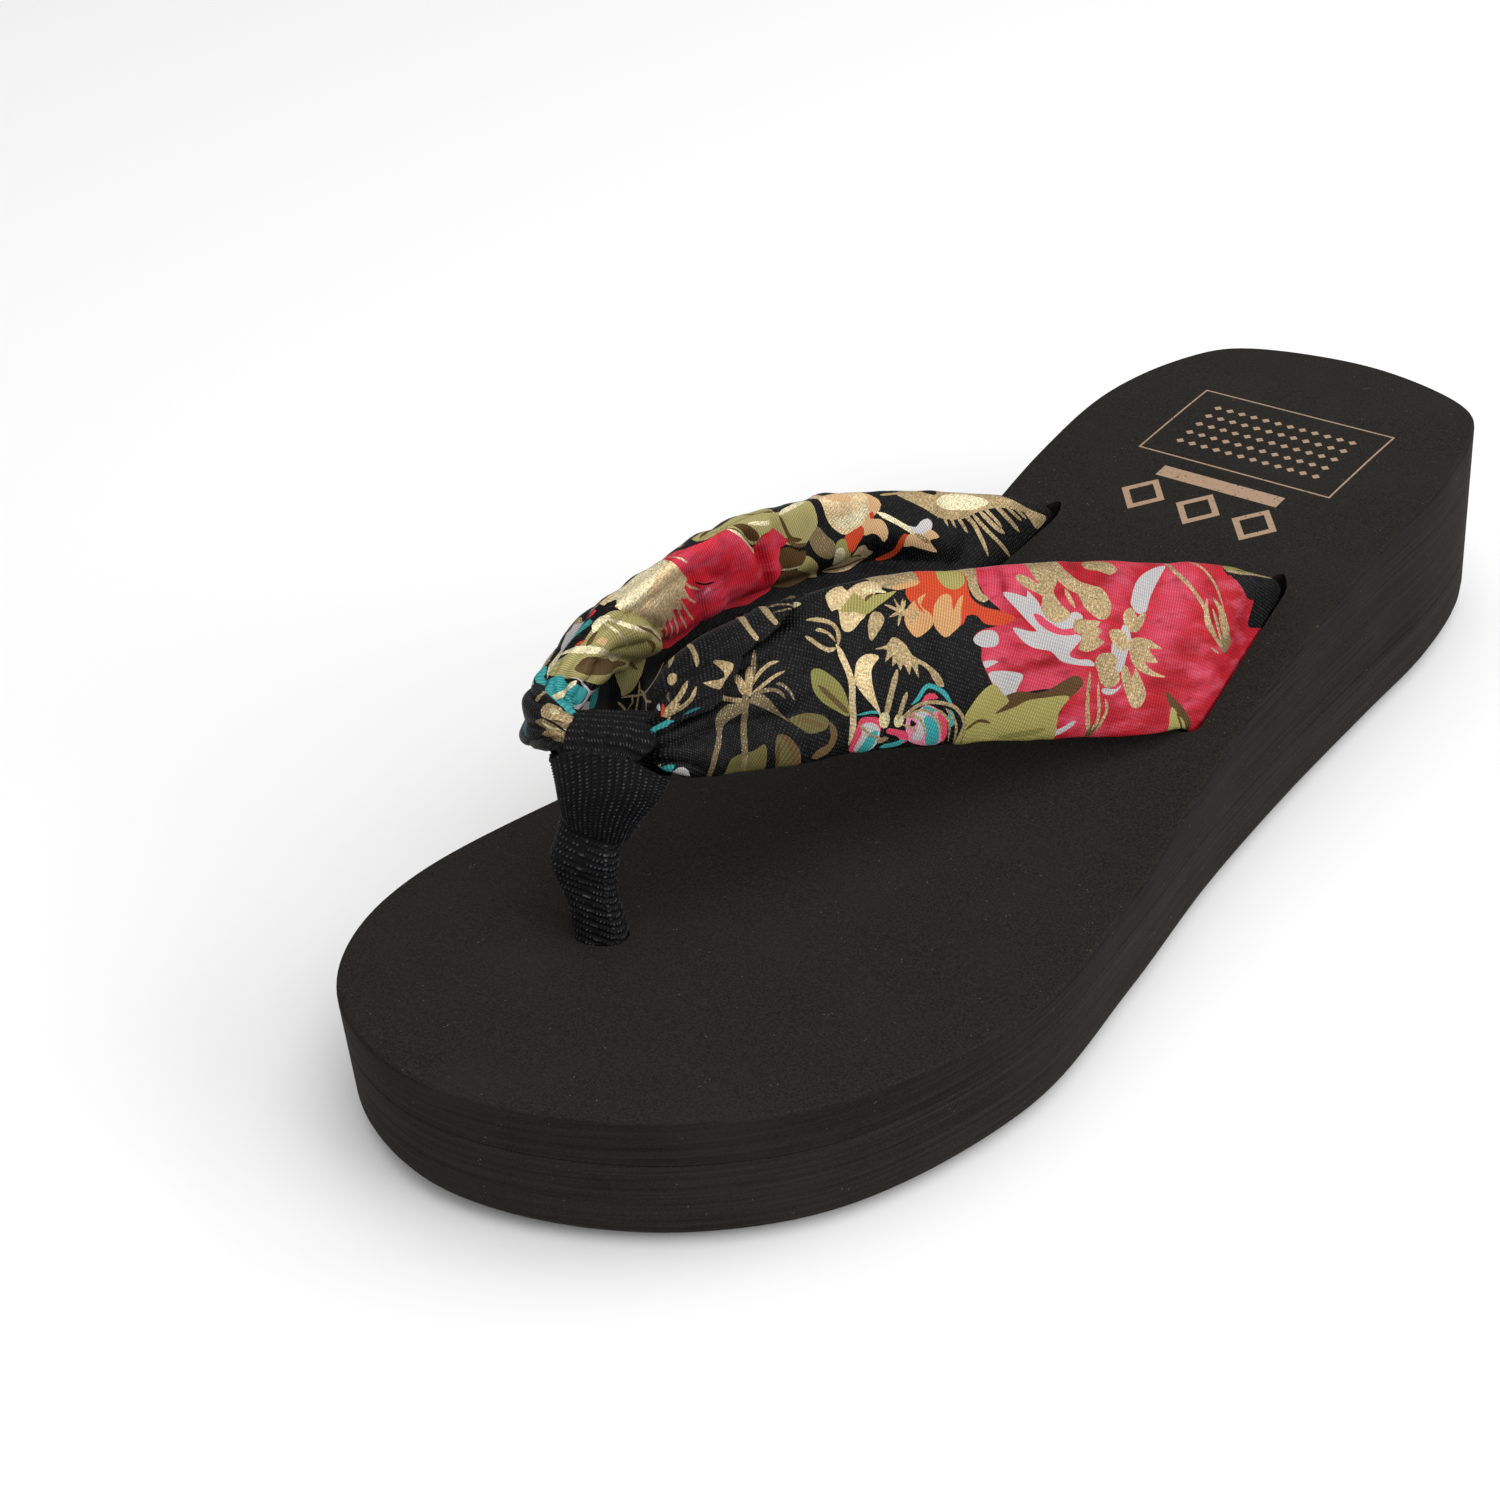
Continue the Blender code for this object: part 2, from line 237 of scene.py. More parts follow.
# The lower sole: an even sheet of dense black foam, ground to the outline after the wedge is
# glued on it, with its bottom edge rounded off. It rises a little off the floor at the toes.
MM = 0.001
MERGE_DISTANCE = 0.0005
SHARP_ANGLE = 40.0
LENGTH = 248.0
TOE_TIP_X = -12.5
HEEL_TIP_X = -1.0
STATIONS = 120
CURVE_STEPS = 24
BOTTOM_RADIUS = 5.0
BOTTOM_STEPS = 8
WALL_STEPS = 4
TOE_SPRING = 0.8
SPRING_LENGTH = 34.0
SEAM_AT_TOE = 15.9
SEAM_AT_HEEL = 12.4
GLUE_GAP = 0.06
GLUE_EDGE = 0.14
WEBBING_TURN = math.radians(33.0)
HOLE_HALF = (4.3, 3.3)
HOLE_FLOOR = 8.4
HOLE_PLACE = (-14.0, -81.3)
HOLE_SEGMENTS = 48
ABOVE_FOOTBED = 45.0
# Columns: from the toe tip, inner edge, outer edge, height of the footbed
SOLE_ROWS = (
    (5.0, -32.2, 8.4, 24.5),
    (18.0, -44.6, 28.2, 23.8),
    (38.0, -49.9, 42.8, 22.5),
    (68.0, -47.6, 49.9, 20.6),
    (98.0, -39.3, 46.4, 20.8),
    (128.0, -33.4, 41.2, 25.4),
    (158.0, -33.2, 37.9, 31.2),
    (188.0, -36.8, 35.9, 35.6),
    (212.0, -38.5, 34.4, 37.4),
    (232.0, -33.9, 29.8, 38.0),
    (243.0, -24.6, 21.4, 38.1),
)
# The foam's noises: scale, detail, roughness
MOTTLE_NOISE = (55.0, 5.0, 0.62)
GRAIN_NOISE = (2600.0, 3.0, 0.8)
GRIND_NOISE = (1.0, 4.0, 0.7)
SPECK_NOISE = (420.0, 1.0, 0.5)
GRIND_STRETCH = (22.0, 22.0, 1400.0)
GRIND_SHARE = 0.55
# The dark and the light grain, as shares of the foam's own colour
WALL_GRAIN = (0.45, 1.80)
FLAT_GRAIN = (0.55, 1.65)
MOTTLE_LIGHT = 1.45
MOTTLE_COVER = 0.4
PORE_SCALE = 1300.0
SPECK_RADIUS = 0.14
SPECK_COVER = 0.24
SPECK_COLOUR = (0.40, 0.38, 0.35)
# Shares of the grain, the grinding and the mottle in the relief, and its depth in metres
FOAM_RELIEF = (0.7, 1.5, 0.4)
FOAM_DEPTH = 0.00016
FOAM_GLOSS = 0.07


def linear(code):
    """A colour as shader values, from its six-digit screen code."""
    parts = [int(code[at:at + 2], 16) / 255 for at in (0, 2, 4)]
    return tuple(part / 12.92 if part <= 0.04045 else ((part + 0.055) / 1.055) ** 2.4
                 for part in parts)


def times(shade, factor):
    return tuple(part * factor for part in shade)


def foam_finish(name, base, wall, roughness):
    """Dense foam: grainy and mottled, with sparse pale specks, and ground on the upright walls."""
    made = Finish(name, Roughness=roughness, Specular_IOR_Level=FOAM_GLOSS)
    place = made.place
    normal = made.start.add("NewGeometry", out=1)
    made.upward = made.start.add("SeparateXYZ", None, {0: normal}, out=2)
    flat = abs(made.upward).apart(0.55, 0.95)
    mottle = place.noise(*MOTTLE_NOISE)
    grain = place.noise(*GRAIN_NOISE)
    grind = place.stretched(GRIND_STRETCH).noise(*GRIND_NOISE)
    on_walls = grain * (1 - GRIND_SHARE) + grind * GRIND_SHARE
    rough = (grain * flat + on_walls * (1.0 - flat)).apart(0.32, 0.70)
    dark, light = (flat.mix(times(wall, on_wall), times(base, on_flat))
                   for on_wall, on_flat in zip(WALL_GRAIN, FLAT_GRAIN))
    tone = (mottle.apart(0.42, 0.75) * MOTTLE_COVER).mix(rough.mix(dark, light),
                                                         times(base, MOTTLE_LIGHT))
    pores = made.start.add("TexVoronoi", None, {"Vector": place, "Scale": PORE_SCALE})
    speck = (pores < SPECK_RADIUS) * place.noise(*SPECK_NOISE).apart(0.63, 0.70)
    made.tone = (speck * SPECK_COVER).mix(tone, SPECK_COLOUR)
    height = (grain * FOAM_RELIEF[0] + grind * (1.0 - flat) * FOAM_RELIEF[1]
              + mottle * FOAM_RELIEF[2])
    made.feed(bump=(height, FOAM_DEPTH, 0.5), Base_Color=made.tone)
    return made


def between(before, here, there, after, t):
    """A place from here to there, where t goes from 0 to 1, on a smooth curve through all."""
    return 0.5 * (2 * here + (there - before) * t
                  + (2 * before - 5 * here + 4 * there - after) * t ** 2
                  + (3 * here - before - 3 * there + after) * t ** 3)


def with_ends(rows):
    """Rows with one more at each end, carried straight on."""
    return np.vstack([2 * rows[0] - rows[1], rows, 2 * rows[-1] - rows[-2]])


def curve_rows(rows, steps):
    """Rows read off a smooth curve through the given rows, so many steps from one to the next."""
    rows = np.asarray(rows, float)
    ends = with_ends(rows)
    out = [between(*ends[at:at + 4], step / steps)
           for at in range(len(rows) - 1) for step in range(steps)]
    return np.array(out + [rows[-1]])


def side_curve(column):
    """The sole's edge on one side, from its column in the rows, as a function of y."""
    across = [(TOE_TIP_X, -LENGTH / 2)]
    across += [(row[column], row[0] - LENGTH / 2) for row in SOLE_ROWS]
    across += [(HEEL_TIP_X, LENGTH / 2)]
    other = 3 - column
    first = (SOLE_ROWS[0][other], SOLE_ROWS[0][0] - LENGTH / 2)
    last = (SOLE_ROWS[-1][other], SOLE_ROWS[-1][0] - LENGTH / 2)
    curve = curve_rows([first] + across + [last], CURVE_STEPS)[CURVE_STEPS:-CURVE_STEPS]
    return lambda y: float(np.interp(y, curve[:, 1], curve[:, 0]))


inner_edge = side_curve(1)
outer_edge = side_curve(2)


def floor_lift(y):
    """How far the sole's bottom is off the floor."""
    return TOE_SPRING * max(0.0, (SPRING_LENGTH - LENGTH / 2 - y) / SPRING_LENGTH) ** 2


def seam_height(y):
    """Height of the glued seam between the sheet and the wedge."""
    along = (y + LENGTH / 2) / LENGTH
    return SEAM_AT_TOE + (SEAM_AT_HEEL - SEAM_AT_TOE) * along + floor_lift(y)


def sole_outline():
    """Points round the sole from the toe tip, by the outer side, and their outward normals."""
    ys = [-LENGTH / 2 * math.cos(math.pi * step / STATIONS) for step in range(1, STATIONS)]
    points = [(TOE_TIP_X, -LENGTH / 2)]
    points += [(outer_edge(y), y) for y in ys]
    points += [(HEEL_TIP_X, LENGTH / 2)]
    points += [(inner_edge(y), y) for y in reversed(ys)]
    points = np.array(points)
    along = np.roll(points, -1, axis=0) - np.roll(points, 1, axis=0)
    along /= np.linalg.norm(along, axis=1)[:, None]
    return points, np.column_stack([along[:, 1], -along[:, 0]])


def add_ring(bm, points, yarn_shading=None):
    """A closed ring of edges. The shading values, one a point, go in the layer of that name."""
    verts = [bm.verts.new(point) for point in points]
    if yarn_shading is not None:
        layer = bm.verts.layers.float["yarn_shading"]
        for vert, value in zip(verts, yarn_shading):
            vert[layer] = value
    return [bm.edges.new(pair) for pair in zip(verts, verts[1:] + verts[:1])]


def add_piece(bm, name, finish, sharp=SHARP_ANGLE, ride=True):
    """Make an object of a mesh in millimetres: merged, faces outwards, in metres."""
    bmesh.ops.remove_doubles(bm, verts=bm.verts, dist=MERGE_DISTANCE)
    bmesh.ops.recalc_face_normals(bm, faces=bm.faces)
    bmesh.ops.scale(bm, vec=(MM, MM, MM), verts=bm.verts)
    mesh = bpy.data.meshes.new(name)
    bm.to_mesh(mesh)
    bm.free()
    mesh.shade_smooth()
    mesh.set_sharp_from_angle(angle=math.radians(sharp))
    mesh.materials.append(finish.material)
    piece = bpy.data.objects.new(name, mesh)
    scene.collection.objects.link(piece)
    if ride:
        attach(piece, "root")
    return piece


def sole_layer(levels):
    """A layer from (inset, height function) levels, bottom to top, with quads across its ends."""
    points, normals = sole_outline()
    bm = bmesh.new()
    loops = []
    for inset, height in levels:
        moved = points - normals * inset
        loops.append(add_ring(bm, [(x, y, height(y)) for x, y in moved]))
    for first, second in zip(loops, loops[1:]):
        bmesh.ops.bridge_loops(bm, edges=first + second)
    half = len(points) // 2
    for loop in (loops[0], loops[-1]):
        bmesh.ops.bridge_loops(bm, edges=loop[1:half - 1] + loop[half + 1:-1])
        for tip in ([loop[0], loop[-1]], [loop[half - 1], loop[half]]):
            bmesh.ops.contextual_create(bm, geom=tip)
    return bm


def take_out(piece, cutter):
    """Take the cutter's shape out of the piece, for good."""
    modifier = piece.modifiers.new("cut", "BOOLEAN")
    modifier.operation = "DIFFERENCE"
    modifier.object = cutter
    held = bpy.context.evaluated_depsgraph_get()
    mesh = bpy.data.meshes.new_from_object(piece.evaluated_get(held))
    piece.modifiers.clear()
    old = piece.data
    piece.data = mesh
    bpy.data.meshes.remove(old)
    mesh.name = piece.name
    mesh.shade_smooth()
    mesh.set_sharp_from_angle(angle=math.radians(SHARP_ANGLE))


foam_under = foam_finish("lower foam", linear("211f1c"), linear("201e1b"), 0.85)
lower_levels = []
for step in range(BOTTOM_STEPS + 1):
    turn = math.pi / 2 * step / BOTTOM_STEPS
    inset = BOTTOM_RADIUS * (1 - math.sin(turn))
    rise = BOTTOM_RADIUS * (1 - math.cos(turn))
    lower_levels.append((inset, lambda y, rise=rise: rise + floor_lift(y)))
for step in range(1, WALL_STEPS + 1):
    share = step / WALL_STEPS
    lower_levels.append((0.0, lambda y, share=share: (
        (BOTTOM_RADIUS + floor_lift(y)) * (1 - share)
        + (seam_height(y) - GLUE_GAP / 2 - GLUE_EDGE) * share)))
lower_levels.append((GLUE_EDGE, lambda y: seam_height(y) - GLUE_GAP / 2))
lower_sole = add_piece(sole_layer(lower_levels), "foam_lower_sheet", foam_under)

hole_bm = bmesh.new()
bmesh.ops.create_circle(hole_bm, cap_ends=True, radius=1.0, segments=HOLE_SEGMENTS)
for vert in hole_bm.verts:
    across, front = HOLE_HALF[0] * vert.co.x, HOLE_HALF[1] * vert.co.y
    cosine, sine = math.cos(WEBBING_TURN), math.sin(WEBBING_TURN)
    vert.co = Vector((HOLE_PLACE[0] + across * cosine + front * sine,
                      HOLE_PLACE[1] + across * sine - front * cosine, HOLE_FLOOR))
pulled = bmesh.ops.extrude_face_region(hole_bm, geom=hole_bm.faces[:])
raised = [item for item in pulled["geom"] if isinstance(item, bmesh.types.BMVert)]
bmesh.ops.translate(hole_bm, vec=(0.0, 0.0, ABOVE_FOOTBED - HOLE_FLOOR), verts=raised)
hole_cutter = add_piece(hole_bm, "hole_cutter", foam_under, ride=False)
take_out(lower_sole, hole_cutter)
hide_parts("lower_sole")


# The wedge: the same foam, thin at the toes and thick at the heel, whose bare top is the
# footbed. Two slits are cut in it for the strap, and a hole for the toe post.
EDGE_RADIUS = 0.9
EDGE_STEPS = 5
SLIT_FLOOR = 16.6
SLIT_ENDS = (((30.9, 12.9), (24.6, 49.8)), ((-25.1, 15.5), (-23.5, 49.8)))
SLIT_HALF_WIDTH = 2.5
SLIT_SEGMENTS = 16
# The slit's pointed rear end: places from the second end, and half widths
SLIT_POINT = ((-3.2, 2.5), (-1.2, 2.2), (0.6, 1.5), (1.9, 0.7), (2.5, 0.0))
# The copper print at the heel: a thin frame with rows of small lozenges, a plain bar, and
# three larger lozenges. Its places are from the frame's centre, along and across it
PRINT_CENTRE = (-1.4, 87.2)
PRINT_TURN = math.radians(2.3)
FRAME_HALF = (20.1, 12.35)
FRAME_LINE = 0.36
SMALL_AREA = (15.6, 8.6)
SMALL_CELL = (2.6, 3.44)
SMALL_HALF = (0.85, 0.80)
BAR_PLACE = (0.5, -17.5)
BAR_HALF = (12.6, 1.7)
LARGE_PLACE = (0.8, -25.6)
LARGE_COUNT = 3
LARGE_SPACING = 11.6
LARGE_HALF = (4.6, 5.2)
LARGE_LINE = 0.34
WEAR_NOISE = (1700.0, 3.0, 0.7)
COPPER_COVER = 0.92

foam = foam_finish("footbed foam", linear("211f1c"), linear("1b1917"), 0.80)
across, back = foam.in_mm(foam.place, 1000.0)
across = across - PRINT_CENTRE[0]
back = back - PRINT_CENTRE[1]
print_u = across * math.cos(PRINT_TURN) + back * math.sin(PRINT_TURN)
print_v = back * math.cos(PRINT_TURN) - across * math.sin(PRINT_TURN)


def inside(half, centre=(0.0, 0.0)):
    """1 inside a rectangle of the heel print, 0 outside it."""
    return (abs(print_u - centre[0]) < half[0]) * (abs(print_v - centre[1]) < half[1])


def lozenge(u, v, half):
    """0 at the centre of a lozenge, 1 on its edge."""
    return abs(u) / half[0] + abs(v) / half[1]


def repeated(value, pitch):
    """A place's distance from the middle of its cell, in a row of cells of one pitch."""
    return value % pitch - pitch / 2


frame_print = inside(FRAME_HALF) - inside([half - FRAME_LINE for half in FRAME_HALF])
small = lozenge(repeated(print_u, SMALL_CELL[0]),
                repeated(print_v + SMALL_CELL[1] / 2, SMALL_CELL[1]), SMALL_HALF)
large = lozenge(repeated(print_u - (LARGE_PLACE[0] - LARGE_SPACING / 2), LARGE_SPACING),
                print_v - LARGE_PLACE[1], LARGE_HALF)
large_area = inside((LARGE_COUNT / 2 * LARGE_SPACING, LARGE_HALF[1] + 1), LARGE_PLACE)
large_print = large_area * (large < 1.0) * (large > 1.0 - LARGE_LINE)
copper = frame_print + inside(SMALL_AREA) * (small < 1.0) + large_print + inside(BAR_HALF, BAR_PLACE)
copper = copper * foam.place.noise(*WEAR_NOISE).apart(0.28, 0.42)
copper = copper * foam.upward.apart(0.85, 0.95) * COPPER_COVER
foam.feed(Base_Color=copper.mix(foam.tone, linear("a98d74")))

height_curve = curve_rows([(row[0] - LENGTH / 2, row[3]) for row in SOLE_ROWS], CURVE_STEPS)


def footbed(y):
    """Height of the footbed."""
    return float(np.interp(y, height_curve[:, 0], height_curve[:, 1]))


wedge_levels = [(GLUE_EDGE, lambda y: seam_height(y) + GLUE_GAP / 2)]
for step in range(WALL_STEPS + 1):
    share = step / WALL_STEPS
    wedge_levels.append((0.0, lambda y, share=share: (
        (seam_height(y) + GLUE_GAP / 2 + GLUE_EDGE) * (1 - share)
        + (footbed(y) - EDGE_RADIUS) * share)))
for step in range(1, EDGE_STEPS + 1):
    turn = math.pi / 2 * step / EDGE_STEPS
    inset = EDGE_RADIUS * (1 - math.cos(turn))
    drop = EDGE_RADIUS * (1 - math.sin(turn))
    wedge_levels.append((inset, lambda y, drop=drop: footbed(y) - drop))
wedge = add_piece(sole_layer(wedge_levels), "foam_wedge", foam)
take_out(wedge, hole_cutter)
bpy.data.objects.remove(hole_cutter)
for (x0, y0), (x1, y1) in SLIT_ENDS:
    length = math.hypot(x1 - x0, y1 - y0)
    ux, uy = (x1 - x0) / length, (y1 - y0) / length
    outline = [(length + past, -half) for past, half in SLIT_POINT]
    outline += [(length + past, half) for past, half in reversed(SLIT_POINT[:-1])]
    for step in range(SLIT_SEGMENTS + 1):
        turn = math.pi / 2 + math.pi * step / SLIT_SEGMENTS
        outline.append((SLIT_HALF_WIDTH * math.cos(turn), SLIT_HALF_WIDTH * math.sin(turn)))
    rings = [[(x0 + ux * along - uy * aside, y0 + uy * along + ux * aside, z)
              for along, aside in outline] for z in (SLIT_FLOOR, ABOVE_FOOTBED)]
    slit_bm = bmesh.new()
    loops = [add_ring(slit_bm, ring) for ring in rings]
    bmesh.ops.bridge_loops(slit_bm, edges=loops[0] + loops[1])
    for loop in loops:
        bmesh.ops.contextual_create(slit_bm, geom=loop)
    slit_cutter = add_piece(slit_bm, "slit_cutter", foam, ride=False)
    take_out(wedge, slit_cutter)
    bpy.data.objects.remove(slit_cutter)
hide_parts("wedge_footbed")


# The toe post: black ribbed webbing, folded double. It comes up out of its hole as a flat
# strip, widens, and closes in a band round the gathered strap. Each rib is a row of beads.
# Columns: centre x, y, z, half width, half thickness
POST_ROWS = (
    (-14.0, -81.3, 8.8, 4.0, 3.0),
    (-14.0, -81.3, 21.0, 4.05, 3.0),
    (-14.2, -81.2, 23.0, 4.0, 2.95),
    (-15.3, -80.9, 28.0, 3.8, 2.6),
    (-16.6, -80.3, 31.5, 4.5, 2.6),
    (-17.5, -79.4, 35.0, 5.3, 3.3),
    (-18.0, -77.8, 38.0, 4.85, 3.5),
    (-18.6, -75.6, 41.5, 4.5, 3.6),
    (-18.9, -71.9, 46.6, 4.5, 4.4),
)
POST_FINE = 40
POST_STEPS = (3, 12, 34, 22, 22, 20, 20, 4)
POST_AROUND = 184
POST_ROUNDING = 0.62
POST_RIB_PITCH = 1.2
POST_RIB_TILT = 0.40
POST_BEADS = 46
# The row of stitches down the post's front: its place as a share of the half width, its half
# width, the stitches in a rib, and how far they rise and lie low
STITCH_PLACE = 0.72
STITCH_HALF_WIDTH = 0.30
STITCH_RATE = 1.6
STITCH_RISE = 0.22
STITCH_DROP = 0.04
LOOP_CENTRE = (-18.45, -69.07, 48.7)
LOOP_WIDTH = 14.45
LOOP_INSIDE = (5.4, 3.2)
LOOP_WALL = 1.2
LOOP_ROUNDING = 0.8
LOOP_AROUND = 210
LOOP_ACROSS = 100
LOOP_RIBS = 23
# How far the loop's two side edges draw in towards its bottom, and from what share of its
# half height
LOOP_NARROWING = 6.0
LOOP_TUCK = 1.8
NARROW_BELOW = 0.8
# Its ribs lean, in ribs a millimetre, and curl above a share of its half height. Columns of
# the curls: size in ribs, turn in a millimetre, start
LOOP_LEAN = 0.065
LOOSE_ABOVE = 0.6
LOOP_CURLS = ((0.30, 1.9, 0.0), (0.20, 3.7, 1.0))
CURL_HEIGHT = 0.5
RIB_DEPTH = 0.23
RIB_FULLNESS = 0.7
RIB_LEVEL = 0.75
BEAD_PITCH = 0.50
BEAD_DEPTH = 0.22
# How far the beads lean across their rib, in beads
BEAD_SLANT = 0.8
# How closely the painted glints keep to the bead crowns
YARN_SHADING_SHARPNESS = 1.5
# A band's rims turn in over so many rings, by so much
RIM_RINGS = 3.0
RIM_DEPTH = 0.3
# Noises as scale, detail, roughness: which beads get a painted glint, and the fibres' relief
GLINT_NOISE = (1300.0, 2.0, 0.6)
FIBRE_NOISE = (4200.0, 2.0, 0.6)
# In metres
FIBRE_DEPTH = 0.00008
GLINT_COVER = 0.75
WEBBING_GLOSS = 0.12


def woven():
    """A new mesh with a layer for the webbing's painted shade and glints."""
    bm = bmesh.new()
    bm.verts.layers.float.new("yarn_shading")
    return bm


def rounded(turn, power):
    """A point of a circle that is drawn out to its corners where the power is under 1."""
    cosine, sine = math.cos(turn), math.sin(turn)
    return (math.copysign(abs(cosine) ** power, cosine), math.copysign(abs(sine) ** power, sine))


def turned(centre, along, front, z):
    """A point from its distances along the loop's axis and to its front."""
    cosine, sine = math.cos(WEBBING_TURN), math.sin(WEBBING_TURN)
    return (centre[0] + along * cosine + front * sine, centre[1] + along * sine - front * cosine, z)


def ring_lengths(points):
    """How far round a closed ring each point is, and its whole length."""
    points = np.array(points)
    steps = np.linalg.norm(np.roll(points, -1, axis=0) - points, axis=1)
    return np.concatenate([[0.0], np.cumsum(steps)[:-1]]), steps.sum()


def pushed(points, heights):
    """A closed ring's points, each moved outwards in the ring's own plane."""
    points = np.array(points)
    along = np.roll(points, -1, axis=0) - np.roll(points, 1, axis=0)
    along /= np.linalg.norm(along, axis=1)[:, None]
    middle = points.mean(axis=0)
    facing = points - middle
    facing -= along * np.sum(facing * along, axis=1)[:, None]
    facing /= np.linalg.norm(facing, axis=1)[:, None]
    return points + facing * np.array(heights)[:, None]


def webbing_ring(bm, points, ribs, beads, shown=1.0, stitch=0.0):
    """A ring of webbing, from each point's place counted in ribs and in beads along its rib.

    It is flattened where shown is under 1, and a lengthwise row of stitches runs where
    stitch is near 1.
    """
    crown = 0.5 + 0.5 * np.cos(2 * math.pi * ribs)
    offset = 0.5 * (np.round(ribs) % 2)
    slant = BEAD_SLANT * (ribs - np.round(ribs))
    bead = 0.5 + 0.5 * np.cos(2 * math.pi * (beads + offset + slant))
    height = RIB_DEPTH * (crown ** RIB_FULLNESS - RIB_LEVEL) + BEAD_DEPTH * (bead - 0.5) * crown
    # The shading value: 1 on the bead crowns, which the finish paints with a glint, and 0 in the
    # gaps, which it paints as shade. The stitches are painted the same way, and where the ring is
    # flattened it fades to the gaps' painted shade.
    yarn_shading = crown ** YARN_SHADING_SHARPNESS * bead
    along = 0.5 + 0.5 * np.cos(2 * math.pi * ribs * STITCH_RATE)
    height = height * (1 - stitch) + stitch * (STITCH_RISE * along - STITCH_DROP)
    yarn_shading = yarn_shading * (1 - stitch) + stitch * along
    return add_ring(bm, pushed(points, height * shown), yarn_shading * shown)


def webbing_finish(name):
    """Black webbing, with painted shade in the gaps between its beads and a painted glint on most of
    its beads.
    """
    made = Finish(name, Roughness=0.6, Specular_IOR_Level=WEBBING_GLOSS)
    yarn_shading = made.start.add("Attribute", {"attribute_name": "yarn_shading"}, out=2)
    # Painted shade in the gaps, then a painted glint on most bead crowns
    tone = yarn_shading.apart(0.05, 0.75).mix(linear("050506"), linear("111113"))
    glint = yarn_shading.apart(0.35, 0.9) * made.place.noise(*GLINT_NOISE).apart(0.42, 0.66)
    tone = (glint * GLINT_COVER).mix(tone, linear("5c5c61"))
    made.feed(bump=(made.place.noise(*FIBRE_NOISE), FIBRE_DEPTH, 0.5), Base_Color=tone)
    return made


webbing = webbing_finish("black ribbed webbing")
bm = woven()
loops = []
length = 0.0
smooth_rows = curve_rows(POST_ROWS, POST_FINE)
rows = [smooth_rows[0]]
for at, steps in enumerate(POST_STEPS):
    for step in range(1, steps + 1):
        rows.append(smooth_rows[round(POST_FINE * (at + step / steps))])
sides, fronts = np.array([rounded(2 * math.pi * step / POST_AROUND - math.pi / 2, POST_ROUNDING)
                          for step in range(POST_AROUND)]).T
for at, row in enumerate(rows):
    if at:
        length += float(np.linalg.norm(row[:3] - rows[at - 1][:3]))
    ring = [turned(row, row[3] * side, row[4] * front, row[2])
            for side, front in zip(sides, fronts)]
    places, girth = ring_lengths(ring)
    ribs = (length + POST_RIB_TILT * row[3] * sides) / POST_RIB_PITCH
    stitch = np.exp(-((sides - STITCH_PLACE) * row[3] / STITCH_HALF_WIDTH) ** 2) * (fronts > 0)
    loops.append(webbing_ring(bm, ring, ribs, places / girth * POST_BEADS, 1.0, stitch))
for first, second in zip(loops, loops[1:]):
    bmesh.ops.bridge_loops(bm, edges=first + second)
for loop in (loops[0], loops[-1]):
    bmesh.ops.contextual_create(bm, geom=loop)
toe_post = add_piece(bm, "webbing_toe_post", webbing, sharp=180.0)
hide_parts("toe_post")


def join_band(bm, loops):
    """Join a band's loops: its outer face, then its inner face, then back round its edge."""
    for first, second in zip(loops, loops[1:] + loops[:1]):
        bmesh.ops.bridge_loops(bm, edges=first + second)
    return bm


def loop_ring(grow, across):
    """One ring of the loop, and how near each point is to the top, where its weave is loose."""
    points = []
    loose = []
    for step in range(LOOP_AROUND):
        front, up = rounded(2 * math.pi * step / LOOP_AROUND, LOOP_ROUNDING)
        low = min(1.0, max(0.0, NARROW_BELOW - up))
        share = 2 * across / LOOP_WIDTH
        narrow = LOOP_NARROWING * low * max(0.0, share) + LOOP_TUCK * low * min(0.0, share)
        z = LOOP_CENTRE[2] + (LOOP_INSIDE[1] + grow) * up
        points.append(turned(LOOP_CENTRE, across - narrow, (LOOP_INSIDE[0] + grow) * front, z))
        loose.append(max(0.0, up - LOOSE_ABOVE))
    return points, np.array(loose)


bm = woven()
loops = []
for step in range(LOOP_ACROSS + 1):
    across = LOOP_WIDTH * (step / LOOP_ACROSS - 0.5)
    ring, loose = loop_ring(LOOP_WALL, across)
    places, girth = ring_lengths(ring)
    curl = loose * sum(size * math.sin(rate * across + start) for size, rate, start in LOOP_CURLS)
    ribs = places / girth * LOOP_RIBS + LOOP_LEAN * across + curl
    edge = min(1.0, min(step, LOOP_ACROSS - step) / RIM_RINGS)
    ring = pushed(ring, -RIM_DEPTH * (1 - edge) + CURL_HEIGHT * curl * edge)
    loops.append(webbing_ring(bm, ring, ribs, np.full(LOOP_AROUND, across / BEAD_PITCH), edge))
for share in (0.5, 0.0, -0.5):
    loops.append(add_ring(bm, loop_ring(0.0, LOOP_WIDTH * share)[0]))
loop_band = add_piece(join_band(bm, loops), "webbing_strap_loop", webbing, sharp=60.0)


# The neck wrap: a second strip of the same webbing, wound once round the post where the loop
# meets it. It stands higher at the front, and its ribs fan out upwards.
# Columns: height at the sides, its slope to the right, extra height at the front, centre x, y,
# shift to the right, half widths across and to the front
WRAP_ROWS = (
    (39.8, -0.40, 0.2, -18.4, -76.8, 1.5, 4.95, 4.9),
    (42.2, -0.28, 1.6, -18.2, -75.4, 1.2, 6.3, 5.9),
    (44.9, -0.18, 3.8, -18.0, -72.9, 0.9, 8.1, 7.4),
    (47.6, -0.16, 5.8, -18.6, -70.4, 0.3, 9.4, 8.0),
)
WRAP_STEPS = 32
WRAP_WALL = 0.8
WRAP_AROUND = 320
WRAP_ROUNDING = 0.7
WRAP_RIBS = 50
WRAP_BEADS = 25


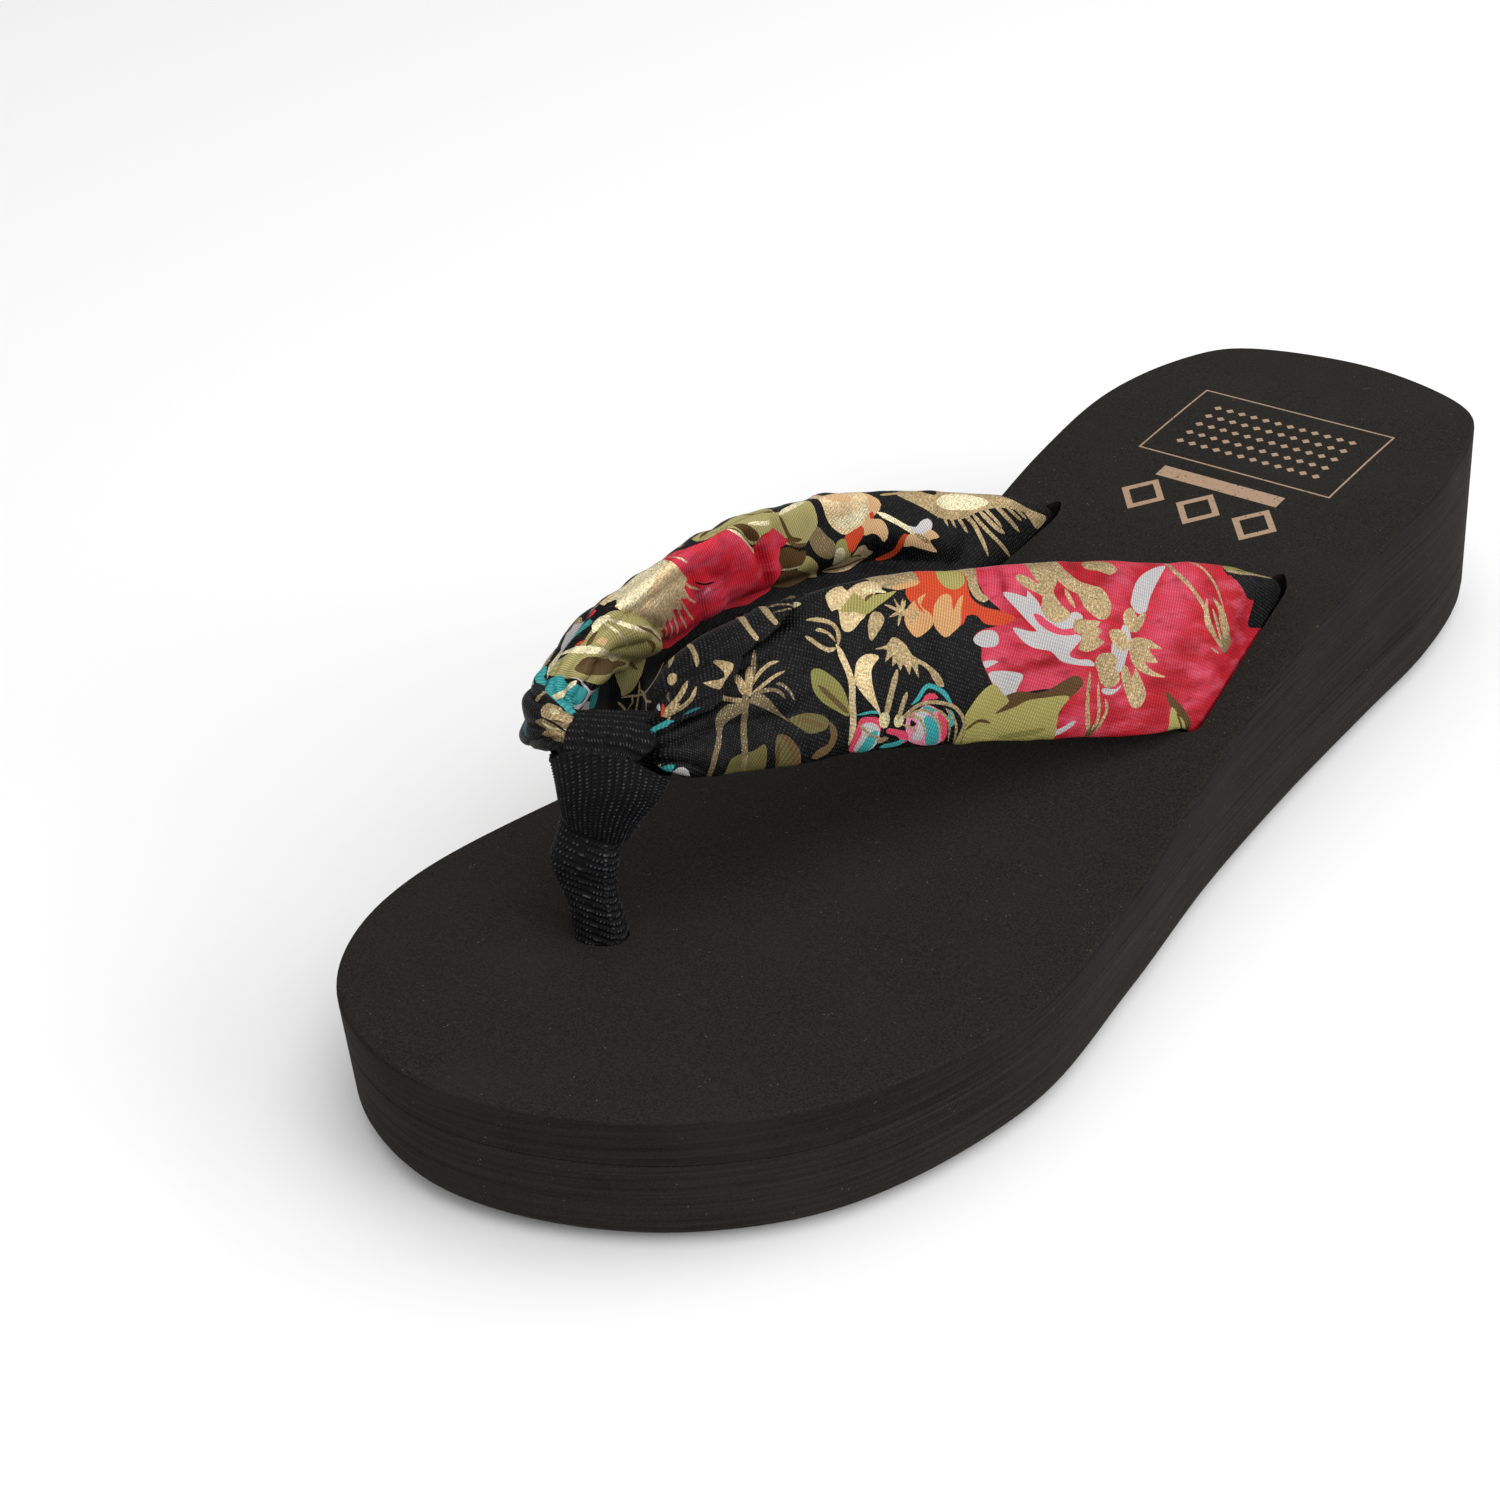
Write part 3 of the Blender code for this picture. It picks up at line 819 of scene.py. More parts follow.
def wrap_ring(row, shrink):
    """One ring of the wrap, shrunk where it is a ring of its inner face."""
    side_z, slope, extra, cx, cy, shift, half_along, half_front = row
    points = []
    for step in range(WRAP_AROUND):
        along, front = rounded(2 * math.pi * step / WRAP_AROUND - math.pi / 2, WRAP_ROUNDING)
        across = shift + (half_along - shrink) * along
        z = side_z + slope * across + extra * max(0.0, front) ** 3
        points.append(turned((cx, cy), across, (half_front - shrink) * front, z))
    return points


wrap_webbing = webbing_finish("black ribbed webbing, wrap")
bm = woven()
loops = []
places, girth = ring_lengths(wrap_ring(WRAP_ROWS[2], 0.0))
ribs = places / girth * WRAP_RIBS
rows = curve_rows(WRAP_ROWS, WRAP_STEPS)
for at, row in enumerate(rows):
    edge = min(1.0, at / RIM_RINGS)
    ring = pushed(wrap_ring(row, 0.0), np.full(WRAP_AROUND, -RIM_DEPTH * (1 - edge)))
    beads = np.full(WRAP_AROUND, at / (len(rows) - 1) * WRAP_BEADS)
    loops.append(webbing_ring(bm, ring, ribs, beads, edge))
for row in reversed(WRAP_ROWS):
    loops.append(add_ring(bm, wrap_ring(row, WRAP_WALL)))
neck_wrap = add_piece(join_band(bm, loops), "webbing_neck_wrap", wrap_webbing, sharp=60.0)
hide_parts("neck_wrap")


# The strap: one flat tube of printed satin over a thin soft core. It comes out of the outer
# slit, is gathered in the webbing loop and goes down the inner slit.
# Columns: lower edge x, y, z, upper edge x, y, z, thickness, outward bulge
STRAP_ROWS = np.array((
    (31.3, 11.0, 17.0, 24.9, 48.8, 17.0, 3.8, 0.0),
    (31.3, 11.0, 22.5, 24.9, 48.8, 27.0, 3.8, 0.0),
    (31.3, 11.0, 26.8, 24.9, 48.8, 34.0, 3.8, 0.0),
    (27.4, 2.5, 28.6, 24.9, 36.0, 43.0, 4.2, 0.6),
    (20.6, -6.5, 30.6, 18.6, 22.5, 48.8, 4.4, 1.4),
    (14.6, -16.5, 33.2, 11.0, 7.0, 54.0, 4.6, 2.2),
    (9.2, -27.0, 36.2, 3.6, -8.5, 58.0, 4.8, 2.6),
    (4.0, -38.0, 39.0, -4.2, -22.5, 60.6, 5.0, 2.6),
    (-0.6, -49.0, 41.1, -9.8, -36.0, 61.4, 5.4, 2.2),
    (-3.8, -58.0, 43.3, -13.2, -48.5, 59.8, 6.0, 1.4),
    (-5.8, -64.0, 45.2, -14.2, -56.0, 57.0, 5.8, 0.6),
    (-7.6, -67.2, 46.9, -13.6, -60.0, 52.8, 5.2, 0.0),
    (-10.4, -68.9, 48.4, -15.0, -61.9, 49.2, 4.4, 0.0),
    (-16.5, -73.0, 48.2, -21.1, -65.6, 49.2, 4.4, 0.0),
    (-22.4, -76.6, 48.2, -27.0, -69.6, 49.2, 4.4, 0.0),
    (-25.8, -77.2, 47.6, -28.6, -70.2, 51.6, 5.2, 0.0),
    (-30.4, -75.0, 46.4, -32.6, -67.8, 54.2, 6.2, 0.4),
    (-34.0, -69.4, 42.6, -34.4, -62.6, 57.0, 6.6, 0.8),
    (-38.4, -59.8, 38.4, -34.4, -53.6, 60.4, 6.4, 1.4),
    (-40.2, -49.5, 35.0, -33.6, -42.0, 62.4, 5.6, 2.0),
    (-40.6, -39.0, 33.0, -34.4, -28.0, 61.8, 5.2, 2.2),
    (-39.8, -28.5, 31.4, -35.8, -13.5, 58.8, 5.0, 2.2),
    (-37.4, -18.0, 30.0, -36.8, 0.5, 54.6, 4.8, 1.8),
    (-34.2, -8.0, 28.8, -36.0, 15.0, 49.4, 4.6, 1.2),
    (-30.6, 1.0, 27.8, -32.2, 28.0, 44.6, 4.4, 0.6),
    (-27.2, 8.0, 27.5, -26.8, 39.6, 39.6, 4.0, 0.2),
    (-25.2, 13.6, 27.6, -23.6, 48.8, 34.0, 3.8, 0.0),
    (-25.2, 13.6, 22.5, -23.6, 48.8, 27.0, 3.8, 0.0),
    (-25.2, 13.6, 17.0, -23.6, 48.8, 17.0, 3.8, 0.0),
))
# Where the cloth bunches up against the loop: rows, and what is added to them. Columns: row,
# lower edge x, y, z, upper edge x, y, z, thickness, outward bulge
BUNCHED = (
    (8, 0.0, 0.0, 0.0, -0.4, -0.3, 0.3, 0.0, 0.0),
    (9, 0.0, 0.0, 0.0, -0.9, -0.6, 0.7, 0.3, 0.0),
    (10, 0.0, 0.0, 0.0, -2.7, -1.7, 1.2, 1.2, 0.2),
    (11, 0.0, 0.0, -0.2, -2.9, -1.9, 1.8, 1.6, 0.4),
    (12, 0.0, 0.0, 0.0, -0.6, -0.4, 1.2, 0.3, 0.0),
    (14, 0.8, 0.4, 1.2, 0.0, 0.0, 0.0, 0.0, 0.0),
    (15, 1.8, 0.8, 2.2, 0.0, 0.0, 0.3, 0.8, 0.2),
    (16, 0.5, 0.2, 0.7, 0.0, 0.0, 0.3, 0.8, 0.2),
    (19, 0.0, 0.0, -1.3, 0.0, 0.0, 0.0, 0.0, 0.0),
    (20, 0.0, 0.0, -1.0, 0.0, 0.0, 0.0, 0.0, 0.0),
)
LAST_ROW = len(STRAP_ROWS) - 1
# Rows at each end that stay inside a slit
HIDDEN_ROWS = 1.6
STRAP_SQUARENESS = 3.0
SECTION_STEPS = 400
SECTION_FLATNESS = 0.18
FLAT_STEPS = 12
OUTER_TURN = math.radians(62.5)
plain_rows = with_ends(STRAP_ROWS)
bunched_rows = plain_rows.copy()
for number, *added in BUNCHED:
    bunched_rows[number + 1] += added


def strap_row(r, rows=plain_rows):
    """The strap's row at any place between its rows, for an array of places."""
    r = np.asarray(r, float)
    at = np.clip(np.floor(r).astype(int), 0, LAST_ROW - 1)
    return between(*(rows[at + shift] for shift in range(4)), (r - at)[..., None])


# The section of the tube, read by how far round it a thread is from the upper edge
turns = np.linspace(0.0, math.pi, SECTION_STEPS)
power = 2 / STRAP_SQUARENESS
section_u = np.sign(np.cos(turns)) * np.abs(np.cos(turns)) ** power
section_v = np.sin(turns) ** power
section_steps = np.hypot(np.diff(section_u), SECTION_FLATNESS * np.diff(section_v))
section_arc = np.concatenate([[0.0], np.cumsum(section_steps)])
section_arc /= section_arc[-1]

# The cloth laid flat: its lower and upper edges as lines in a plane, a strip of triangles
flat_r = np.linspace(0, LAST_ROW, LAST_ROW * FLAT_STEPS + 1)
flat_rows = strap_row(flat_r)
lower_edge, upper_edge = flat_rows[:, 0:3], flat_rows[:, 3:6]


def placed(first, second, to_first, to_second):
    """The point at two distances from two others, to the right of the line between them."""
    span = np.linalg.norm(second - first)
    along = (to_first ** 2 - to_second ** 2 + span ** 2) / (2 * span)
    aside = math.sqrt(max(to_first ** 2 - along ** 2, 0.0))
    line = (second - first) / span
    return first + line * along - np.array((-line[1], line[0])) * aside


flat_low = [np.zeros(2)]
flat_high = [np.array((0.0, np.linalg.norm(upper_edge[0] - lower_edge[0])))]
for at in range(len(flat_r) - 1):
    low = placed(flat_low[-1], flat_high[-1],
                 np.linalg.norm(lower_edge[at + 1] - lower_edge[at]),
                 np.linalg.norm(lower_edge[at + 1] - upper_edge[at]))
    high = placed(low, flat_high[-1],
                  np.linalg.norm(upper_edge[at + 1] - lower_edge[at + 1]),
                  np.linalg.norm(upper_edge[at + 1] - upper_edge[at]))
    flat_low.append(low)
    flat_high.append(high)
flat_low = np.array(flat_low)
flat_high = np.array(flat_high)
middles = (lower_edge + upper_edge) / 2
flat_s = np.concatenate([[0.0], np.cumsum(np.linalg.norm(np.diff(middles, axis=0), axis=1))])


def flat_place(r, a):
    """Where a thread lies on the flat cloth, from its row and its place round the tube: 0 at
    the upper edge, 1 or -1 at the lower edge by the outer or the inner face."""
    q = (1 - 2 * np.abs(a))[..., None]
    low = np.column_stack([np.interp(r, flat_r, flat_low[:, axis]) for axis in (0, 1)])
    high = np.column_stack([np.interp(r, flat_r, flat_high[:, axis]) for axis in (0, 1)])
    return low * (1 - q) / 2 + high * (1 + q) / 2


def thread_at(points, side):
    """Row and place round the tube (r, a) of points on the flat cloth, for one face of it."""
    points = np.asarray(points, float)
    line = flat_high - flat_low
    size = np.linalg.norm(line, axis=1)
    line = line / size[:, None]
    across = np.column_stack([line[:, 1], -line[:, 0]])
    found = []
    for point in points:
        away = point - flat_low
        off = np.sum(away * across, axis=1)
        up = np.sum(away * line, axis=1) / size
        change = np.nonzero((off[:-1] >= 0) != (off[1:] >= 0))[0]
        if len(change) == 0:
            change = np.array([int(np.argmin(np.abs(off[:-1])))])
        best = change[np.argmin(np.abs(up[change] - 0.5))]
        span = off[best] - off[best + 1]
        share = min(1.0, max(0.0, off[best] / span)) if abs(span) > 1e-9 else 0.0
        r = flat_r[best] + share * (flat_r[best + 1] - flat_r[best])
        high = up[best] + share * (up[best + 1] - up[best])
        found.append((r, side * (1 - high)))
    return np.array(found)


def to_chart(points, side, turn=OUTER_TURN):
    """Flat places as the outer face's chart, which is turned, or as the inner face's."""
    points = np.asarray(points, float)
    if side < 0:
        return points
    cosine, sine = math.cos(turn), math.sin(turn)
    return np.column_stack([points[:, 0] * cosine - points[:, 1] * sine,
                            points[:, 0] * sine + points[:, 1] * cosine])


def from_chart(points, side):
    return to_chart(points, side, -OUTER_TURN)


def closed_curve(points, step=0.6):
    """A smooth closed line through a few points."""
    points = np.asarray(points, float)
    out = []
    for at in range(len(points)):
        corners = [points[(at + shift) % len(points)] for shift in (-1, 0, 1, 2)]
        steps = max(2, int(np.linalg.norm(corners[2] - corners[1]) / step))
        out += [between(*corners, part / steps) for part in range(steps)]
    return np.array(out)


def brush_line(points, width, step=0.7):
    """The outline of a brush stroke along a smooth line, thinner at its two ends."""
    points = np.asarray(points, float)
    length = np.linalg.norm(np.diff(points, axis=0), axis=1).sum()
    steps = max(2, int(length / (len(points) - 1) / step))
    line = curve_rows(points, steps)
    along = np.gradient(line, axis=0)
    along /= np.linalg.norm(along, axis=1)[:, None]
    share = np.linspace(0, 1, len(line))
    half = width / 2 * np.clip(0.25 + 5 * np.minimum(share, 1 - share), 0.0, 1.0)
    aside = np.column_stack([-along[:, 1], along[:, 0]]) * half[:, None]
    return np.vstack([line + aside, (line - aside)[::-1]])


# Colours of the print, by their screen codes. Some are lighter and darker copies of the gold and the
# olive, which paint highlights and shade, and the cream is used for some painted highlights too
PRINT_COLOURS = {
    "black": "0a0a0c", "red": "c8222f", "grey": "cbc7c7", "pink": "e64c66", "rose": "ee8ea6",
    "olive": "908b4b", "light olive": "b0a65f", "dark olive": "5e4424", "teal": "40aaac",
    "dark teal": "1f6f74", "orange": "dc4c28", "peach": "e1a870", "gold": "ab936a",
    "worn gold": "78674a", "dull gold": "8d7954", "cream": "dfd3a2", "brown": "6a5434",
    "deep red": "a00c1a", "pale gold": "d6bd8e", "dim gold": "b39a6e", "shaded olive": "6a6238",
}
# Lighter copies of some colours, used on the inner face, which paint light on it
LIT_INNER_COLOURS = {
    "gold": "efd2a2", "red": "f22c3e", "olive": "a19a58", "light olive": "b9ae70",
    "cream": "f4e6bc", "peach": "f0c08c", "grey": "e8e4e2",
}
# Those with foil on the cloth, and how much of it is there
FOILS = {"gold": 1.0, "pale gold": 1.0, "dim gold": 1.0, "cream": 1.0, "worn gold": 0.6,
         "dull gold": 0.35}

# The outer face's print, in the order it was printed, with a few painted highlights and painted
# shade among it. Places are in mm on its chart: a smooth patch has points only, and a brush line has
# its width before them
OUTER_PRINT = (
    ("red", ((-24, 31), (-13.3, 29.5), (-9.5, 31.6), (-7, 33.4), (-5.5, 34.2), (-6, 42), (41, 42),
             (41.2, 34), (38.5, 30.5), (38, 28.6), (42.5, 27.7), (44, 26.3), (42.5, 25.3),
             (42.7, 23.8), (42, 22), (39.5, 18.4), (37, 17.7), (30.5, 18.3), (26.5, 17),
             (28.3, 13.5), (30, 5), (4, 2), (-14, 12), (-18, 24), (-15, 26))),
    ("black", ((-26, 27), (-13.5, 25), (-14, 29.5), (-13, 31), (-10, 32), (-7, 33.1), (-8, 33.8),
               (-12, 34), (-30, 36))),
    ("olive", ((-24, 35), (-14, 34.4), (-9, 34.3), (-5.8, 34.3), (-7, 35.6), (-14, 36))),
    ("grey", ((5.3, 35.9), (6.5, 34.6), (8.5, 32.4), (10, 30.4), (10.9, 28.6), (12.7, 28.4),
              (14, 29.9), (13.7, 31), (12.5, 33), (10.6, 34.5), (7.8, 35.6))),
    ("gold", 0.45, ((1, 35.5), (-0.7, 34.9), (-1.8, 33.9), (-3.4, 31.4), (-4.4, 28.1))),
    ("gold", 0.7, ((4.8, 38), (4.5, 35.3), (3.2, 33.1), (1.6, 31.2), (-0.1, 29.2), (-0.4, 27.8))),
    ("dull gold", ((-6.8, 22.6), (-5, 21.4), (-3.6, 22.2), (-3.4, 23.6), (-4.8, 25), (-6.4, 24))),
    ("gold", ((-6, 24.6), (-5.2, 26.4), (-4.4, 28.1), (-2.3, 30), (-3.1, 28.1), (-3.2, 26.2),
              (-4.2, 24.2), (-5, 23.6))),
    ("gold", 0.6, ((-2, 28.2), (-2.8, 25.4), (-3.9, 23.2))),
    ("gold", ((-1.2, 29.9), (-0.4, 28), (-0.2, 25.8), (-1.6, 24), (-3.5, 22.5), (-4.4, 22.4),
              (-2.9, 23.8), (-1.7, 25.4), (-1.2, 27))),
    ("gold", 0.4, ((-3.3, 21.4), (-1.2, 22.4))),
    ("gold", 0.5, ((-24, 33), (-14, 34), (-9.8, 33.9), (-6, 34.1))),
    ("gold", ((11, 28.4), (12, 28.4), (12.8, 27.8), (13.4, 28.9), (14.3, 29.4), (15.4, 28.8),
              (15.7, 27.6), (14.9, 25.9), (13.2, 25.5), (12, 26.3), (11.1, 27.7))),
    ("grey", ((15.7, 26.9), (14.5, 25.3), (14.8, 23.6), (15.6, 21.6), (16.2, 19.8), (17.4, 19.6),
              (18, 21.4), (18.1, 22.8), (17.9, 24.2), (16.8, 25))),
    ("gold", ((15.2, 24.2), (15.4, 25.6), (16.8, 26.3), (18.4, 26.2), (18.4, 25.3), (17.7, 24.2),
              (16.3, 22.8), (15.4, 23.1))),
    ("gold", ((15, 24.4), (12.7, 24.6), (11, 24.2), (9.9, 23.7), (8.2, 22.4), (10.6, 22.6),
              (9.6, 21.2), (9.1, 20.3), (11.6, 20.6), (10.2, 19.2), (7.9, 18.1), (10.4, 18.4),
              (12.4, 19.2), (14.1, 20.6), (14.9, 22.6))),
    ("gold", ((11.7, 16.2), (12.3, 17.8), (13.5, 19.8), (14.2, 18.4), (15.2, 20.2), (16.2, 20.4),
              (16.4, 18.6), (15.6, 16.6), (14.3, 13.8), (12.8, 13.9), (11.8, 15.1))),
    ("grey", ((16.3, 17.6), (17.4, 17), (19.6, 17.4), (19.6, 16.6), (18.2, 16.2), (16.8, 16.9))),
    ("gold", ((17, 21.5), (17.9, 22.6), (19.3, 22.8), (20.7, 22.6), (21.4, 21.4), (20.7, 20.1),
              (19.8, 18.1), (18.5, 17.3), (17.1, 17.8), (16.6, 18.9), (17.5, 20.2))),
    ("brown", 1.0, ((20.6, 12.2), (21.4, 11), (22.6, 9.6))),
    ("gold", 0.5, ((19.2, 15.7), (18.9, 14.2), (19.5, 12.7), (20.6, 11))),
    ("gold", 0.5, ((20.4, 18.4), (20.3, 13.1), (21.4, 11))),
    ("gold", 0.8, ((22.4, 20.3), (22.4, 15.6), (22.1, 12.8), (22, 11))),
    ("gold", ((15.7, 35.3), (17.4, 34.6), (19, 35.3), (21, 35.9), (21.6, 36.7), (20.7, 37.4),
              (17.9, 36.9), (16.3, 36.3))),
    ("grey", ((23.6, 28.7), (25.4, 29.4), (28.5, 28), (30.5, 29), (31.2, 30.6), (31.6, 31.6),
              (33.3, 33.2), (33.6, 32.2), (37.6, 33.1), (36, 30.6), (34, 28.6), (32.3, 27),
              (34.6, 27.3), (36.8, 27.8), (35.5, 26), (34, 25), (32.4, 24.4), (30, 23.8),
              (28.4, 22.4), (26, 21.6), (21.5, 21), (22.5, 22), (25, 22.3), (26.6, 23.2),
              (24, 25.5), (26, 26.3), (24.4, 27))),
    ("pink", ((25.2, 27), (27.7, 27), (30, 28.2), (31.4, 29.4), (32.6, 29.7), (32.3, 28.7),
              (30.7, 27.2), (28.4, 26.2), (25.6, 26))),
    ("gold", ((26, 40), (26, 37.4), (25.6, 35.8), (23.5, 34.2), (21.3, 33.4), (19.3, 32.6),
              (18.2, 30.9), (17.9, 29.5), (19, 28), (20.7, 28.1), (22.1, 29.2), (23.2, 30.3),
              (24, 32), (25.8, 32.8), (27.4, 34.4), (28.4, 36.4), (28.4, 40))),
    ("gold", 0.8, ((26.4, 32.9), (25.9, 31.6), (25, 30))),
    ("gold", ((26, 29), (27.7, 28.1), (29.3, 28.1), (31, 29.8), (30.9, 31.2), (30.6, 32.2),
              (32, 33), (34, 33.9), (35, 35), (34.2, 35.6), (32.5, 35.2), (30.6, 34),
              (31.8, 36), (31.8, 40), (29.2, 40), (28.4, 36.4), (27.4, 34.4), (28.5, 32.8),
              (27.7, 30.9))),
    ("gold", ((20.2, 27.6), (22.1, 28), (25.4, 28.3), (25.5, 26.5), (24, 25.9), (24.3, 24.8),
              (24.9, 23.9), (23.5, 23.3), (21.6, 23.5), (19.5, 24.5), (21, 25.3), (20, 26.2),
              (21, 26.9))),
    ("grey", ((39.2, 26), (39.5, 27.2), (40.7, 27.7), (42.6, 27.5), (44, 26.3), (42.6, 25.3),
              (40, 25.2))),
    ("grey", ((39.4, 22.9), (41, 23.2), (42.4, 23), (41.9, 22.1), (41, 22.3))),
    ("grey", ((35, 20.6), (37.1, 21.3), (39, 21.5), (41.3, 21.3), (40.2, 19.4), (39, 18),
              (36.7, 17.7), (35.8, 19.1))),
    ("grey", 0.9, ((24.5, 12.8), (27, 11.8), (30.5, 11.2))),
    ("dark olive", ((3.2, 10.2), (4.5, 12.6), (6.5, 14.5), (8.2, 16), (7.8, 13.8), (5.3, 7))),
    ("light olive", ((4, 7), (4.8, 11), (6, 12), (7.5, 13.6), (8, 11), (7.8, 7))),
    ("dark olive", 0.4, ((4.8, 8), (5.4, 10.6), (6.6, 12.6))),
    ("dark olive", ((23.7, 18.4), (24.9, 19.8), (26.8, 19.6), (29.4, 18.5), (32.4, 17.8),
                    (35.7, 18.2), (38.2, 17.4), (39.6, 15), (36, 15.6), (31, 15.6), (26.9, 16.3))),
    ("light olive", ((26.4, 16.8), (31, 17), (34, 16.7), (36.4, 15.8), (39.4, 15), (37.2, 16.8),
                     (38.4, 18), (40.2, 19.6), (43.3, 18.2), (45.2, 16), (45.5, 14.6), (45, 9),
                     (30, 8), (28, 14.5))),
    ("dark olive", 0.5, ((40, 13.6), (42, 14.2), (43.5, 14.2), (45.2, 13.2))),
    ("olive", 0.9, ((30, 12.2), (34, 11.8), (38, 11))),
    ("orange", ((36.2, 29.2), (38.5, 30.4), (41.5, 31.3), (43.2, 33), (43, 36), (42.5, 41),
                (53.4, 41), (53.2, 36), (54.2, 33), (50, 29.4), (46, 28.5), (44.5, 30),
                (42.8, 30), (41.5, 28.7), (38.6, 28.3))),
    ("peach", ((44.4, 33.2), (45.6, 32.4), (46.9, 30.8), (46.7, 33), (48.1, 33.2), (50, 31.6),
               (50.6, 28.8), (49, 26.9), (47.6, 27.5), (46, 28.7), (45.4, 30.8))),
    ("peach", ((50.7, 28.9), (50.8, 30.4), (52.2, 31.8), (51, 33.4), (52.8, 32.6), (54.2, 31.8),
               (55.5, 29.6), (54.8, 28), (53.6, 27.1), (52.1, 27.7))),
    ("orange", 0.4, ((52.4, 34.2), (52.8, 32.2), (51.8, 30.6))),
    ("gold", 0.8, ((52.4, 31), (53.6, 30.4), (54.4, 29))),
    ("light olive", ((43.3, 36), (43.8, 34.9), (45.5, 34.1), (47.4, 34.4), (48.2, 35.8),
                     (47.6, 37.4), (45.6, 38.4), (43.8, 37.6))),
    ("gold", ((40.2, 40), (41.2, 36.3), (41.6, 34.8), (41.1, 33.2), (40.2, 32.4), (41.2, 31.9),
              (42.4, 32.5), (43.1, 34.1), (43, 36), (43.8, 38.2), (43, 40))),
    ("gold", ((51.6, 35.4), (53.2, 34.6), (56.2, 34.2), (59.5, 35.6), (58.6, 38.4), (53, 40))),
    ("peach", 0.8, ((51.5, 35.2), (54, 34.8), (56.4, 34.4))),
    ("gold", 0.45, ((55, 32.8), (55.8, 31), (56.8, 28.8))),
    ("gold", 0.45, ((56.6, 32.8), (55.8, 31), (54.3, 29.8))),
    ("gold", 0.45, ((58.4, 32), (55.8, 31), (53.8, 31.4))),
    ("gold", 0.45, ((57.9, 30.2), (55.8, 31), (54.6, 32.6))),
    ("gold", ((54.9, 30.6), (55.4, 31.7), (56.5, 31.6), (56.7, 30.7), (55.8, 30.2))),
    ("gold", ((58.8, 30.3), (59.4, 31), (60.3, 31.1), (61, 30.5), (61.6, 29.1), (61.7, 27.6),
              (61.3, 26.9), (60.2, 28), (59.1, 29.3))),
    # Painted highlight: this motif is in a lighter copy of the gold
    ("pale gold", ((58, 34.5), (59.4, 35.7), (61.4, 35.7), (63.5, 34.6), (63.9, 35.3), (65.5, 35),
                   (67, 34), (67.1, 33), (66.75, 31.6), (65.6, 32), (65.8, 29.8), (65.5, 28.4),
                   (64.1, 28.6), (62.5, 30), (61.6, 30.7), (60, 33.4))),
    ("light olive", ((55.8, 34), (58, 33.6), (60, 33.6), (61, 32.9), (62.2, 34.3), (63.4, 33.6),
                     (65.3, 31.6), (63.4, 31.4), (61.6, 30.8), (59.6, 31.8), (57.6, 32.8))),
    ("brown", 0.5, ((59.6, 33.8), (60.6, 33.4), (61.2, 32.8))),
    ("cream", 0.6, ((57.6, 33.8), (59, 34.2), (61, 34.6))),
    ("gold", ((54.8, 24.6), (55.7, 26), (57.4, 27.2), (58.3, 27), (59, 26.2), (60.9, 25.7),
              (59, 25.5), (59.5, 23.7), (58.2, 24.6), (58.3, 23.1), (57.5, 23.6), (57, 22.4),
              (56.4, 23.3), (55.4, 21.8), (55, 23), (53.7, 21.2), (53.8, 23.2), (52, 22.3),
              (50.9, 20.2), (49.5, 19.8), (50.2, 21.5), (52.1, 23.2))),
    ("black", 0.35, ((53.4, 22.6), (52, 21.6), (50.4, 19.4))),
    ("gold", 1.0, ((57.5, 22.6), (58.6, 19.1), (59.3, 15.6))),
    # Painted highlight: this motif is in a lighter copy of the gold
    ("pale gold", ((60.4, 24.4), (61, 24.9), (62.6, 25), (64.3, 23.9), (64.9, 22), (64.8, 20.8),
                   (63.3, 18.9), (61, 16.8), (60, 15.4), (60.5, 17), (61.2, 18.4), (61.9, 21),
                   (61.7, 23))),
    ("teal", 0.7, ((47.8, 16.8), (49, 18.4), (50.2, 19.4), (51.9, 20), (52.9, 19.4), (53.8, 18.2),
                   (54.9, 17.4))),
    ("pink", 0.9, ((50.4, 18.2), (51.7, 18.5), (53, 17.7))),
    ("rose", ((48.4, 13), (49, 15), (50.4, 16.6), (52.4, 17.2), (53.8, 16.4), (55.6, 15.4),
              (55, 12.4), (52.8, 11.4), (49.4, 11.2))),
    ("grey", ((52, 16), (53.6, 16.4), (54.2, 15.4), (53.4, 14.6), (54.2, 12.4), (52.6, 12.2))),
    ("teal", ((47, 14.5), (47.6, 16), (48.5, 16.3), (48.3, 14.8), (47.6, 13.8))),
    ("pink", 1.0, ((48.5, 11.6), (48.9, 14.2), (50.2, 16))),
    ("teal", ((49.5, 11.4), (49.8, 13.7), (50.7, 15.1), (51.9, 15.7), (52.6, 15.1), (52.1, 13.4),
              (51.5, 11.4))),
    ("teal", ((50.7, 16.4), (52.1, 17.1), (53, 16.8), (51.5, 15.9))),
    ("black", ((53.7, 14.5), (54.8, 15.2), (54.7, 14.1))),
    ("pink", ((54.8, 12.2), (55.2, 13.3), (56.6, 13.8), (58.6, 14.1), (58.8, 13.4), (56.9, 12.9),
              (55.8, 11.8))),
    ("teal", 0.8, ((55.4, 12.2), (57.4, 11.6), (59.6, 11.2))),
    ("gold", 0.55, ((45.2, 11), (45.5, 14.5), (47.1, 16.5), (49, 17.3), (51.4, 17.6),
                    (53.8, 17.2), (55.7, 16), (57, 15))),
    ("gold", 0.45, ((46.4, 11), (46.7, 13.9), (47.9, 15.6), (49, 16.6))),
    ("gold", 0.45, ((47.5, 11.6), (48.1, 14.4), (49.3, 15.8), (51, 16.7))),
    ("gold", 0.4, ((49, 12.7), (49.8, 14.4), (51.4, 16), (53.3, 16.5), (56, 15.6))),
    ("gold", 0.4, ((51.8, 12.7), (52.6, 14.4), (54, 15.6), (56.4, 15.5))),
    ("gold", 0.35, ((53.6, 13.4), (54.8, 14.1), (56.4, 14.6))),
